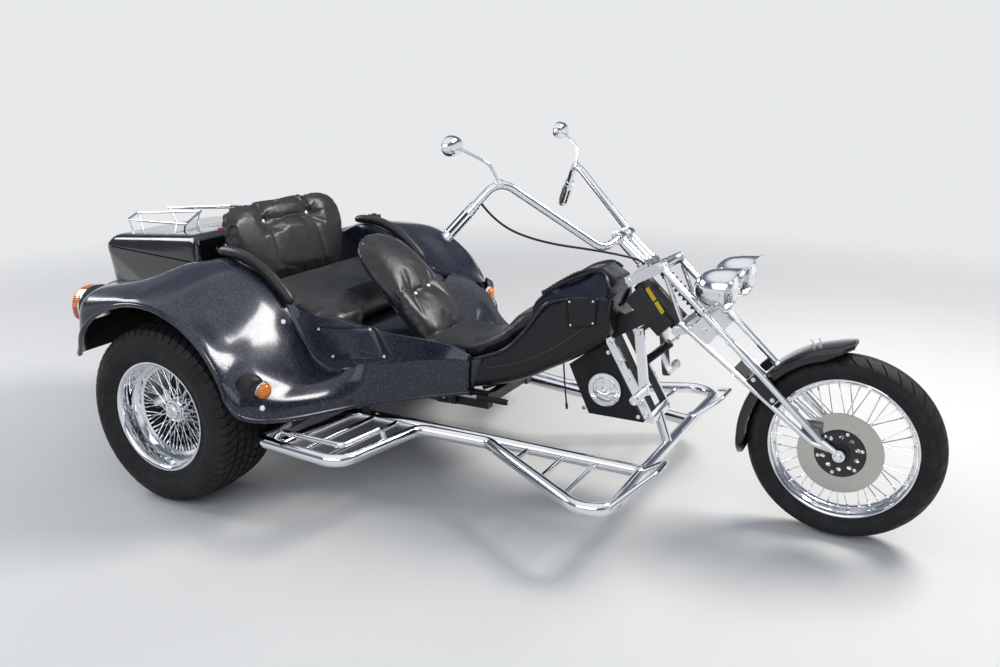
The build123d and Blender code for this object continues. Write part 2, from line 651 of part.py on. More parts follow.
# Nose console on the spine, its top edges sloped
NOSE_Y = 135.0
nose_side = [(front(1195), 540), (front(1185), 640), (front(1140), 705), (front(1067), 773),
             (front(947), 850), (front(888), 866), (front(855), 850), (front(830), 815),
             (front(825), 720), (front(1005), 640)]
with BuildPart() as nose_console:
    add(panel(nose_side, -NOSE_Y, NOSE_Y))
    with BuildSketch(Plane(origin=(front(1300), 0, 0), x_dir=(0, 1, 0), z_dir=(1, 0, 0)),
                     mode=Mode.PRIVATE) as nose_front:
        Polygon((-NOSE_Y, 500), (-NOSE_Y, 778), (-78, 868), (78, 868), (NOSE_Y, 778), (NOSE_Y, 500),
                align=None)
    extrude(nose_front.sketch, amount=600, mode=Mode.INTERSECT)
    for cutter in (spine_solid.part, frame_cut.part, neck.part):
        add(cutter, mode=Mode.SUBTRACT)
nose_console.part.label = "nose_console"
export_step(nose_console.part, "parts/nose_console.step")

# Driver's seat: a reclined back on the spine and a long dished cushion in front of it
DRIVER_Y = 165.0
BACK_THICK = 85.0
back_foot = Vector(ahead(753), 0, 528)
back_face = Vector(0.678, 0, 0.735)
with BuildPart() as driver_backrest:
    with BuildSketch(Plane(origin=back_foot, x_dir=(0, 1, 0), z_dir=back_face)):
        with BuildLine():
            Polyline((-150, 5), (-DRIVER_Y, 90), (-185, 250), (-180, 440), (-145, 530), (-70, 572), (70, 572),
                     (145, 530), (180, 440), (185, 250), (DRIVER_Y, 90), (150, 5), close=True)
        make_face()
        fillet(vertices(), 30)
    extrude(amount=-BACK_THICK)
    add(spine_solid.part, mode=Mode.SUBTRACT)
    add(body_shell.part, mode=Mode.SUBTRACT)
driver_backrest.part.label = "driver_backrest"
export_step(driver_backrest.part, "parts/driver_backrest.step")

seat_side = [(ahead(705), 450), (ahead(700), 560), (ahead(760), 566), (ahead(900), 550), (ahead(1000), 588),
             (front(1185), 690), (front(1150), 690), (front(1150), 540), (ahead(900), 450)]
with BuildPart() as driver_seat:
    add(panel(seat_side, -DRIVER_Y, DRIVER_Y))
    fillet(driver_seat.edges().filter_by(Axis.Y).group_by(Axis.Z)[-1], 12)
    for cutter in (spine_solid.part, frame_cut.part, driver_backrest.part, nose_console.part,
                   body_shell.part):
        add(cutter, mode=Mode.SUBTRACT)
driver_seat.part.label = "driver_seat"
export_step(driver_seat.part, "parts/driver_seat.step")

# Padded rolls along the seat's side edges
BOLSTER_R = 22.0
with BuildPart() as side_bolsters:
    for sign in SIDES.values():
        route = [(behind(75), sign * 456, 874), (ahead(55), sign * 464, 872), (ahead(165), sign * 470, 824),
                 (ahead(285), sign * 471, 722)]
        add(bent_tube(route, 60, BOLSTER_R))
    for cutter in (body_shell.part, passenger_cushion.part, passenger_backrest.part, boot_tub.part):
        add(cutter, mode=Mode.SUBTRACT)
side_bolsters.part.label = "side_bolsters"
export_step(side_bolsters.part, "parts/side_bolsters.step")

# Front cross bar with its middle tube and the two bright struts up to the spine
CROSS_X = front(616)
CROSS_Z = 211.0
CROSS_Y = 263.0
STRUT_Y = 92.0
STRUT_W = 30.0
STRUT_T = 16.0
strut_top = (front(828), 592)
strut_foot = (front(658), 330)
with BuildPart() as front_support:
    add(rod((CROSS_X, -CROSS_Y, CROSS_Z), (CROSS_X, CROSS_Y, CROSS_Z), STEP_TUBE_R))
    add(rod((strut_foot[0], 0, strut_foot[1]), (CROSS_X, 0, CROSS_Z), 19))
    for sign in SIDES.values():
        add(bar((strut_top[0], sign * STRUT_Y, strut_top[1] + 30), (strut_foot[0], sign * STRUT_Y, strut_foot[1]),
                STRUT_W, STRUT_T))
    add(bar((strut_foot[0], -STRUT_Y, strut_foot[1]), (strut_foot[0], STRUT_Y, strut_foot[1]), 26, 26, (1, 0, 0)))
    add(spine_cover.part, mode=Mode.SUBTRACT)
    add(frame_cut.part, mode=Mode.SUBTRACT)
front_support.part.label = "front_support"
export_step(front_support.part, "parts/front_support.step")

# Side steps: an inner tube, an outer tube round both foot rests, rungs, a front hoop and
# a raised heel guard
INNER_FRONT_Y = 280.0
RING_X = ahead(385)
RING_Y = 828.0
inner_front = Vector(CROSS_X - 10, INNER_FRONT_Y, CROSS_Z)
inner_rear = Vector(ahead(500), STEP_Y + 4, STEP_Z + 2)
# Columns: behind the front axle, across where the rung meets the outer tube
FRONT_RUNGS = [(1130, 425), (1035, 475), (900, 550), (780, 615)]
# Columns: ahead of the rear axle
REAR_RUNGS = [590, 695]


def along_inner(x):
    """Point on the right-hand mirror of the inner tube's straight run at a station."""
    share = (inner_front.X - x) / (inner_front.X - inner_rear.X)
    return inner_front + (inner_rear - inner_front) * share


for side, sign in SIDES.items():
    outer = [(CROSS_X, sign * CROSS_Y, CROSS_Z), (front(604), sign * 720, 214), (front(1175), sign * 372, 246),
             (ahead(805), sign * 408, 262), (ahead(752), sign * 836, 278),
             (RING_X - 6, sign * RING_Y, 293), (RING_X, sign * (CLAMP_Y - 8), 300)]
    inner = [(inner_front.X, sign * inner_front.Y, inner_front.Z), (inner_rear.X, sign * inner_rear.Y, inner_rear.Z),
             (ahead(485), sign * 815, 286)]
    hoop = [(CROSS_X + 5, sign * 300, 222), (front(512), sign * 350, 296), (front(510), sign * 470, 298),
            (front(600), sign * 640, 232)]
    guard = [(ahead(455), sign * 822, 288), (ahead(472), sign * 795, 328), (ahead(740), sign * 795, 325),
             (ahead(765), sign * 600, 325), (ahead(784), sign * 600, 270)]
    rungs = []
    for x in REAR_RUNGS:
        foot = along_inner(ahead(x))
        rungs.append(((foot.X, sign * foot.Y, foot.Z), (ahead(x - 8), sign * 825, 284)))
    for x, y in FRONT_RUNGS:
        foot = along_inner(front(x))
        rungs.append(((foot.X, sign * foot.Y, foot.Z), (front(x - 3), sign * y, foot.Z - 2)))
    with BuildPart() as side_step:
        add(bent_tube(outer, [85, 45, 60, 70, 60], STEP_TUBE_R))
        add(bent_tube(inner, 60, STEP_TUBE_R))
        add(bent_tube(hoop, 30, RUNG_R))
        add(bent_tube(guard, 20, RUNG_R))
        for start, end in rungs:
            add(rod(start, end, RUNG_R))
        add(frame_cut.part, mode=Mode.SUBTRACT)
        add(front_support.part, mode=Mode.SUBTRACT)
    side_step.part.label = "side_step_" + side
    export_step(side_step.part, "parts/side_step_" + side + ".step")

# Dark box under the nose with a round cover on its right side
BOX_Y = 78.0
COVER_R = 65.0
box_side = [(front(992), 500), (front(905), 312), (front(690), 312), (front(850), 606)]
cover_middle = (front(842), 417)
with BuildPart() as front_box:
    add(panel(box_side, -BOX_Y, BOX_Y))
    add(rod((cover_middle[0], -BOX_Y, cover_middle[1]), (cover_middle[0], -BOX_Y - 7, cover_middle[1]), COVER_R))
    for cutter in (spine_cover.part, frame_cut.part, front_support.part):
        add(cutter, mode=Mode.SUBTRACT)
front_box.part.label = "front_box"
export_step(front_box.part, "parts/front_box.step")

# Foot controls: a cross rod under the steering head, an arm and a peg each side
ARM_TOP = (front(702), 668)
ARM_FOOT = (front(672), 452)
ARM_Y = 128.0
PEG_LENGTH = 110.0
with BuildPart() as foot_controls:
    add(rod((ARM_TOP[0], -ARM_Y - 8, ARM_TOP[1]), (ARM_TOP[0], ARM_Y + 8, ARM_TOP[1]), 11))
    for sign in SIDES.values():
        add(bar((ARM_TOP[0], sign * ARM_Y, ARM_TOP[1] + 14), (ARM_FOOT[0], sign * ARM_Y, ARM_FOOT[1] - 14), 34, 14))
        add(rod((ARM_FOOT[0], sign * ARM_Y, ARM_FOOT[1]), (ARM_FOOT[0], sign * (ARM_Y + PEG_LENGTH), ARM_FOOT[1]), 14))
    for cutter in (neck.part, frame_cut.part, spine_cover.part, nose_console.part):
        add(cutter, mode=Mode.SUBTRACT)
foot_controls.part.label = "foot_controls"
export_step(foot_controls.part, "parts/foot_controls.step")

# Handbrake on the right rail
BRAKE_Y = -(RAIL_Y + FRAME_W / 2 + 14)
with BuildPart() as handbrake_lever:
    add(panel([(ahead(760), rail_low), (ahead(760), rail_top), (ahead(830), rail_top + 12), (ahead(850), rail_low)],
              BRAKE_Y - 12, BRAKE_Y + 14))
    add(rod((ahead(790), BRAKE_Y, FRAME_Z + 14), (ahead(1075), BRAKE_Y, 346), 12))
    add(body_shell.part, mode=Mode.SUBTRACT)
    add(spine_cover.part, mode=Mode.SUBTRACT)
handbrake_lever.part.label = "handbrake_lever"
export_step(handbrake_lever.part, "parts/handbrake_lever.step")

# Steering damper: a cylinder on the strut, its rod's eye left open beside the lower tree
with BuildPart() as steering_damper:
    add(rod((front(740), 60, 500), (front(640), 45, 592), 17))
    add(rod((front(640), 45, 592), (front(612), 40, 618), 5))
    add(rod((front(740), 60, 500), (front(740), STRUT_Y - STRUT_T / 2, 500), 9))
    for cutter in (front_support.part, front_box.part):
        add(cutter, mode=Mode.SUBTRACT)
steering_damper.part.label = "steering_damper"
export_step(steering_damper.part, "parts/steering_damper.step")

# Lamps, number plate, bumper, exhaust and rear spring units
with BuildPart() as tail_lamps:
    for sign in SIDES.values():
        with BuildSketch(Plane(origin=(behind(446), 0, 0), x_dir=(0, -1, 0), z_dir=(-1, 0, 0))):
            with Locations((sign * 770, 688)):
                RectangleRounded(150, 130, 30)
        extrude(amount=46)
tail_lamps.part.label = "tail_lamps"
export_step(tail_lamps.part, "parts/tail_lamps.step")

with BuildPart() as front_indicators:
    for sign in SIDES.values():
        add(rod((ahead(360), sign * 822, 505), (ahead(452), sign * 830, 478), 34))
    add(body_shell.part, mode=Mode.SUBTRACT)
    for loose in front_indicators.solids().filter_by(lambda s: s.center().X < ahead(395)):
        add(loose, mode=Mode.SUBTRACT)
front_indicators.part.label = "front_indicators"
export_step(front_indicators.part, "parts/front_indicators.step")

PLATE_HOLE_R = 3.0
PLATE_HOLES = 200.0
plate_z = 712.0
plate_x = BOOT_REAR - REAR_BULGE - PLATE_STAND
with BuildPart() as number_plate:
    with BuildSketch(Plane(origin=(plate_x, 0, plate_z), x_dir=(0, 1, 0), z_dir=(1, 0, 0))):
        RectangleRounded(260, 150, 8)
        with Locations((0, 45)):
            with GridLocations(PLATE_HOLES, 1, 2, 1):
                Circle(PLATE_HOLE_R, mode=Mode.SUBTRACT)
    extrude(amount=4)
    add(bar((plate_x + 2, 0, plate_z), (plate_x + PLATE_STAND + 9, 0, plate_z), 60, 120))
    add(boot_tub.part, mode=Mode.SUBTRACT)
    for inside in number_plate.solids().filter_by(lambda s: s.center().X > plate_x + PLATE_STAND):
        add(inside, mode=Mode.SUBTRACT)
number_plate.part.label = "number_plate"
export_step(number_plate.part, "parts/number_plate.step")

BUMPER_R = 21.0
bumper_x = behind(845)
with BuildPart() as rear_bumper:
    add(bent_tube([(behind(700), -520, 450), (bumper_x, -500, 455), (bumper_x, 500, 455), (behind(700), 520, 450)],
                  70, BUMPER_R))
    for sign in SIDES.values():
        add(bar((DECK_REAR - 10, sign * DECK_Y, DECK_Z), (bumper_x, sign * DECK_Y, 455), 30, 10))
    add(frame_cut.part, mode=Mode.SUBTRACT)
rear_bumper.part.label = "rear_bumper"
export_step(rear_bumper.part, "parts/rear_bumper.step")

SILENCER_R = 48.0
silencer_x = ENGINE_REAR - SILENCER_R
with BuildPart() as exhaust:
    add(rod((silencer_x, -330, 300), (silencer_x, 330, 300), SILENCER_R))
    for sign in SIDES.values():
        add(bent_tube([(silencer_x, sign * 270, 300), (silencer_x - 70, sign * 290, 300), (behind(860), sign * 300, 290)],
                      20, 20))
exhaust.part.label = "exhaust"
export_step(exhaust.part, "parts/exhaust.step")

SPRING_R = 34.0
with BuildPart() as rear_shocks:
    for sign in SIDES.values():
        add(rod((behind(60), sign * 330, 372), (behind(60), sign * 300, DECK_Z - 15), SPRING_R))
        add(bar((behind(60), sign * 300, DECK_Z - 10), (behind(60), sign * (DECK_Y + 15), DECK_Z - 10), 20, 30, (1, 0, 0)))
    for cutter in (rear_axle.part, frame_cut.part, body_shell.part):
        add(cutter, mode=Mode.SUBTRACT)
rear_shocks.part.label = "rear_shocks"
export_step(rear_shocks.part, "parts/rear_shocks.step")

# Steering stem, its two trees and the links out to the girder
TREE_HALF = 79.0
TREE_T = 18.0
UPPER_TREE = -126.0
LOWER_TREE = 115.0
LINK_T = 8.0
link_y = TREE_HALF + LINK_T / 2


def tree(down, rear_off, front_off, half):
    """A flat block across the steering axis."""
    with BuildPart() as piece:
        with BuildSketch(Plane(origin=fork(down - TREE_T / 2, (rear_off + front_off) / 2), x_dir=(0, 1, 0),
                               z_dir=DOWN_FORK)):
            Rectangle(2 * half, front_off - rear_off)
        extrude(amount=TREE_T)
    return piece.part


# Girder fork: front and rear legs each side, joined at the top, the gussets and the axle
axle_point = Vector(FRONT_X, 0, FRONT_TYRE_R)
axle_down = (axle_point - HEAD).dot(DOWN_FORK)
axle_off = (axle_point - HEAD).dot(OFF_FORK)
with BuildPart() as girder_fork:
    for sign in SIDES.values():
        y = sign * LEG_Y
        add(rod(fork(-85, 128, y), fork(axle_down - 70, 124, y), LEG_R))
        add(rod(fork(axle_down - 70, 124, y), fork(axle_down, axle_off, y), LEG_R))
        add(rod(fork(-49, 119, y), fork(109, 47, y), 8))
        add(rod(fork(105, 40, y), fork(axle_down - 85, 96, y), 10))
        add(rod(fork(axle_down - 85, 96, y), fork(axle_down - 20, axle_off - 4, y), 10))
        add(bar(fork(145, 86, y), fork(225, 92, y), 70, 10))
        add(rod(fork(axle_down, axle_off, y - 12.5), fork(axle_down, axle_off, y + 12.5), 20))
    add(rod(fork(-78, 128, -LEG_Y), fork(-78, 128, LEG_Y), LEG_R))
    add(rod(fork(148, 50, -LEG_Y), fork(148, 50, LEG_Y), 9))
    add(rod(fork(axle_down, axle_off, -LEG_Y - 25), fork(axle_down, axle_off, LEG_Y + 25), FRONT_AXLE_R))
girder_fork.part.label = "girder_fork"
export_step(girder_fork.part, "parts/girder_fork.step")

with BuildPart() as steering_stem:
    add(rod(fork(UPPER_TREE, 0), fork(LOWER_TREE + 12, 0), STEM_R))
    add(tree(UPPER_TREE, -22, 84, TREE_HALF - 10))
    add(tree(LOWER_TREE, -22, 40, TREE_HALF - 10))
    for down, off in ((UPPER_TREE, 0), (LOWER_TREE, 12)):
        add(rod(fork(down, off, -TREE_HALF), fork(down, off, TREE_HALF), 11))
    for sign in SIDES.values():
        add(bar(fork(UPPER_TREE, -12, sign * link_y), fork(-71, 147, sign * link_y), 38, LINK_T))
        add(bar(fork(LOWER_TREE, -4, sign * link_y), fork(156, 62, sign * link_y), 30, LINK_T))
    add(girder_fork.part, mode=Mode.SUBTRACT)
steering_stem.part.label = "steering_stem"
export_step(steering_stem.part, "parts/steering_stem.step")

# Front fender: a channel over the tyre, held to the legs by a plate across them
FENDER_R = 352.0
FENDER_Y = 78.0
FENDER_T = 4.0
SKIRT = 30.0
FENDER_FRONT = 88.0
FENDER_REAR = 193.0
with BuildPart() as front_fender:
    with BuildSketch(Plane(origin=front_middle, x_dir=(0, 1, 0), z_dir=(1, 0, 0))):
        with BuildLine():
            Polyline((-FENDER_Y, FENDER_R - SKIRT), (-FENDER_Y, FENDER_R - 8), (-FENDER_Y + 16, FENDER_R + 4),
                     (FENDER_Y - 16, FENDER_R + 4), (FENDER_Y, FENDER_R - 8), (FENDER_Y, FENDER_R - SKIRT),
                     (FENDER_Y - FENDER_T, FENDER_R - SKIRT), (FENDER_Y - FENDER_T, FENDER_R - 8 - FENDER_T),
                     (FENDER_Y - 16 - FENDER_T, FENDER_R), (-FENDER_Y + 16 + FENDER_T, FENDER_R),
                     (-FENDER_Y + FENDER_T, FENDER_R - 8 - FENDER_T), (-FENDER_Y + FENDER_T, FENDER_R - SKIRT),
                     close=True)
        make_face()
    revolve(axis=Axis(front_middle, (0, -1, 0)), revolution_arc=FENDER_REAR)
    sector = [(0, 0)]
    for angle in (FENDER_FRONT, 130, 165, FENDER_REAR):
        sector.append((700 * math.cos(math.radians(angle)), 700 * math.sin(math.radians(angle))))
    add(panel([(FRONT_X + x, FRONT_TYRE_R + z) for x, z in sector], -100, 100), mode=Mode.INTERSECT)
front_fender.part.label = "front_fender"
export_step(front_fender.part, "parts/front_fender.step")

with BuildPart() as fork_plate:
    with BuildSketch(Plane(origin=fork(345, 64), x_dir=(0, 1, 0), z_dir=DOWN_FORK)):
        Rectangle(2 * LEG_Y, 10)
    extrude(amount=75)
    add(bar(fork(400, 64), fork(437, 72), 30, 120))
    add(girder_fork.part, mode=Mode.SUBTRACT)
    add(front_fender.part, mode=Mode.SUBTRACT)
fork_plate.part.label = "fork_plate"
export_step(fork_plate.part, "parts/fork_plate.step")

# Brake caliper on the right rear leg, straddling the disc
CALIPER_GAP = 2.0
caliper_point = fork(axle_down - 118, axle_off - 12)
with BuildPart() as brake_caliper:
    add(bar((caliper_point.X - 32, DISC_Y - 3, caliper_point.Z), (caliper_point.X + 32, DISC_Y - 3, caliper_point.Z),
            50, 30))
    add(turned(front_middle, [(DISC_Y - half_disc - CALIPER_GAP, 60), (DISC_Y - half_disc - CALIPER_GAP, DISC_R + 3),
                              (DISC_Y + half_disc + CALIPER_GAP, DISC_R + 3),
                              (DISC_Y + half_disc + CALIPER_GAP, 60)]), mode=Mode.SUBTRACT)
    add(girder_fork.part, mode=Mode.SUBTRACT)
brake_caliper.part.label = "brake_caliper"
export_step(brake_caliper.part, "parts/brake_caliper.step")

# Handlebar on two risers, grips, mirrors
RISER_TOP = -262.0
RISER_OFF = 66.0
BEND_R = 42.0


def from_head(x, y, z):
    """Point placed from the steering head's centre."""
    return HEAD + Vector(x, y, z)


grip_end = (-606, 485, 258)
bar_top = (-485, 328, 445)
bar_low = (-168, 150, 200)
clamp_middle = fork(RISER_TOP, RISER_OFF)
half_route = [grip_end, bar_top, bar_low]
left = [from_head(*point) for point in half_route]
right = [from_head(x, -y, z) for x, y, z in half_route]
with BuildPart() as handlebar:
    add(bent_tube(left + [clamp_middle + Vector(0, 62, 0), clamp_middle - Vector(0, 62, 0)] + right[::-1],
                  [70, 60, 28, 28, 60, 70], BAR_R))
    for sign in SIDES.values():
        foot, top = fork(UPPER_TREE - TREE_T / 2, RISER_OFF, sign * 40), fork(RISER_TOP, RISER_OFF, sign * 46)
        with BuildSketch(Plane(origin=foot, x_dir=(0, 1, 0), z_dir=top - foot)):
            Circle(21)
        with BuildSketch(Plane(origin=top, x_dir=(0, 1, 0), z_dir=top - foot)):
            Circle(18)
        loft()
    add(steering_stem.part, mode=Mode.SUBTRACT)
handlebar.part.label = "handlebar"
export_step(handlebar.part, "parts/handlebar.step")

GRIP_R = 20.0
GRIP_LENGTH = 135.0
with BuildPart() as handlebar_grips:
    for end, inward in ((left[0], left[1]), (right[0], right[1])):
        along = (inward - end).normalized()
        add(rod(end - along * 6, end + along * GRIP_LENGTH, GRIP_R))
    add(handlebar.part, mode=Mode.SUBTRACT)
handlebar_grips.part.label = "handlebar_grips"
export_step(handlebar_grips.part, "parts/handlebar_grips.step")

mirror_route = [(-480, 331, 425), (-500, 372, 500), (-584, 434, 556)]
with BuildPart() as mirrors:
    for sign in SIDES.values():
        stem = [from_head(x, sign * y, z) for x, y, z in mirror_route]
        add(bent_tube(stem, 15, 5))
        head = from_head(-596, sign * 440, 560)
        with BuildSketch(Plane(origin=head + Vector(-16, 0, 0), x_dir=(0, 1, 0), z_dir=(1, 0, 0))):
            Ellipse(60, 36)
        with BuildSketch(Plane(origin=head + Vector(20, 0, 0), x_dir=(0, 1, 0), z_dir=(1, 0, 0))):
            Ellipse(38, 20)
        loft()
    add(handlebar.part, mode=Mode.SUBTRACT)
mirrors.part.label = "mirrors"
export_step(mirrors.part, "parts/mirrors.step")

# Throttle cable from the right grip down to the upper tree, and the loose lead that
# hangs under the spine and ends in a small plug
CABLE_R = 4.0
LEAD_R = 3.0
throttle_route = [from_head(-530, -387, 376), from_head(-486, -352, 296), from_head(-330, -330, 240),
                  from_head(-120, -210, 205), from_head(-20, -60, 150), fork(UPPER_TREE - 4, 30, -30)]
with BuildPart() as throttle_cable:
    add(bent_tube(throttle_route, [20, 60, 60, 40], CABLE_R))
    for cutter in (steering_stem.part, handlebar.part, handlebar_grips.part):
        add(cutter, mode=Mode.SUBTRACT)
throttle_cable.part.label = "throttle_cable"
export_step(throttle_cable.part, "parts/throttle_cable.step")

lead_route = [(ahead(1236), -60, 486), (ahead(1240), -62, 420), (ahead(1252), -64, 330)]
with BuildPart() as loose_lead:
    add(bent_tube(lead_route, 60, LEAD_R))
    add(rod(lead_route[-1], Vector(lead_route[-1]) - Vector(-2, 0, 22), 5))
    add(spine_cover.part, mode=Mode.SUBTRACT)
loose_lead.part.label = "loose_lead"
export_step(loose_lead.part, "parts/loose_lead.step")

# Two bullet headlights on stems from a cross rod between the front legs
LAMP_R = 74.0
LAMP_BARREL = 46.0
LAMP_Y = 120.0
lamp_x, lamp_z = front(395), 850.0


def lamp_bowl(lens_face):
    """A bullet lamp's round bowl, flat in front."""
    with BuildPart() as piece:
        with BuildSketch(Plane(origin=lens_face, x_dir=(1, 0, 0), z_dir=(0, -1, 0))):
            with BuildLine():
                Line((0, 0), (0, LAMP_R))
                Line((0, LAMP_R), (-LAMP_BARREL, LAMP_R))
                CenterArc((-LAMP_BARREL, 0), LAMP_R, 90, 90)
                Line((-LAMP_BARREL - LAMP_R, 0), (0, 0))
            make_face()
        revolve(axis=Axis(lens_face, (1, 0, 0)))
    return piece.part


with BuildPart() as headlights:
    for sign in SIDES.values():
        lens = Vector(lamp_x, sign * LAMP_Y, lamp_z)
        add(lamp_bowl(lens))
        add(rod(lens + Vector(-75, 0, -55), fork(118, 158, sign * LEG_Y), 11))
    add(rod(fork(112, 152, -LEG_Y - 14), fork(112, 152, LEG_Y + 14), 12))
    add(girder_fork.part, mode=Mode.SUBTRACT)
headlights.part.label = "headlights"
export_step(headlights.part, "parts/headlights.step")
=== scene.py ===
"""Looks of the motorized trike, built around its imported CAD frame."""
import json
import math

import bmesh
import bpy
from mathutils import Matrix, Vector, noise


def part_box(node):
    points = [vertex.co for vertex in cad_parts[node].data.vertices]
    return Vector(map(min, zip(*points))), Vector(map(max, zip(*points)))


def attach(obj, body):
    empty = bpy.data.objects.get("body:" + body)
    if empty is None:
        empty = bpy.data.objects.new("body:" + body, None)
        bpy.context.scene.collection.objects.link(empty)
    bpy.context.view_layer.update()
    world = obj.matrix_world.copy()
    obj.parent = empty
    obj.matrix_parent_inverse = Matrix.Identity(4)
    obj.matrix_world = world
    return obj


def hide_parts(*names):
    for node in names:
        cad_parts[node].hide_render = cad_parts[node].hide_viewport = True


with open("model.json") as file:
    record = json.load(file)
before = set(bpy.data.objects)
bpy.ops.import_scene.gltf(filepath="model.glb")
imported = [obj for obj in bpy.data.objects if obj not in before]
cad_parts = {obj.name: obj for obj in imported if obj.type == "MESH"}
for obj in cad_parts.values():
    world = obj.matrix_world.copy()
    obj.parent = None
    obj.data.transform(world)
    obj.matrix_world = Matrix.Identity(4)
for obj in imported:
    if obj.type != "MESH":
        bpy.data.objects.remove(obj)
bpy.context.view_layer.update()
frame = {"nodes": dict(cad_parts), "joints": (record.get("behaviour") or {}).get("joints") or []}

bl_info = {
    "name": "Motorized Trike",
    "version": (1, 0, 0),
    "blender": (4, 5, 0),
    "location": "View3D > Sidebar > Trike",
    "description": "Builds the trike's tyres, body, seats, fork and lamps around its frame",
    "category": "Object",
}

# Stations of the frame, in metres
JOINTS = {joint["name"]: joint for joint in frame["joints"]}
REAR_X = JOINTS["rear_wheel_left"]["pos_m"][0]
REAR_Y = JOINTS["rear_wheel_left"]["pos_m"][1]
REAR_Z = JOINTS["rear_wheel_left"]["pos_m"][2]
FRONT_AXLE = Vector(JOINTS["front_wheel"]["pos_m"])
HEAD = Vector(JOINTS["steering"]["pos_m"])
UP_FORK = Vector(JOINTS["steering"]["axis"]).normalized()
OFF_FORK = Vector((UP_FORK.z, 0, -UP_FORK.x))
SIDES = {"right": -1, "left": 1}
BODY_REAR = -0.44
LID_BASE = 0.805
SEAT_LEAN = math.radians(18)
FLOOR_REACH = 60


def table(text):
    """Rows of numbers split at commas, the rows at spaces; lengths are in metres."""
    return [tuple(map(float, row.split(","))) for row in text.split()]


def fork(down, off, y=0.0):
    """Point down the steering axis from the head, off it towards the front, and across."""
    return HEAD - UP_FORK * down + OFF_FORK * off + Vector((0, y, 0))


def axle(x, y, z):
    """Point from its distance ahead of the rear axle."""
    return Vector((REAR_X + x, y, z))


def from_head(x, y, z):
    """Point placed from the steering head's centre."""
    return HEAD + Vector((x, y, z))


# Shapes
def across(direction):
    """Two directions at right angles to a direction and each other."""
    direction = Vector(direction).normalized()
    helper = Vector((0, 0, 1)) if abs(direction.z) < 0.9 else Vector((1, 0, 0))
    first = direction.cross(helper).normalized()
    return first, direction.cross(first).normalized()


def circle(centre, first, second, radius, count):
    """Points round a circle that two directions span."""
    return [centre + (first * math.cos(math.tau * k / count) + second * math.sin(math.tau * k / count)) * radius
        for k in range(count)]


def wheel_point(centre, radius, angle, across_wheel=0.0):
    """Point round an axis that runs across the trike."""
    return Vector(centre) + Vector((radius * math.cos(angle), across_wheel, radius * math.sin(angle)))


def clamp(value):
    """A value kept between 0 and 1."""
    return min(max(value, 0), 1)


def doubled(half):
    """A closed outline from its half, mirrored in its first value."""
    return half + [(-y, z) for y, z in reversed(half[1:-1])]


def smooth_line(points, steps, closed=False):
    """A smooth line through points, each point a tuple of any length."""
    count = len(points)
    spans = count if closed else count - 1
    line = []
    for span in range(spans):
        near = [points[(span + shift) % count] if closed else points[min(max(span + shift, 0), count - 1)]
            for shift in (-1, 0, 1, 2)]
        for step in range(steps):
            t = step / steps
            line.append(tuple(0.5 * (2 * b + (c - a) * t + (2 * a - 5 * b + 4 * c - d) * t * t
                + (3 * b - a - 3 * c + d) * t ** 3) for a, b, c, d in zip(*near)))
    if not closed:
        line.append(tuple(points[-1]))
    return line


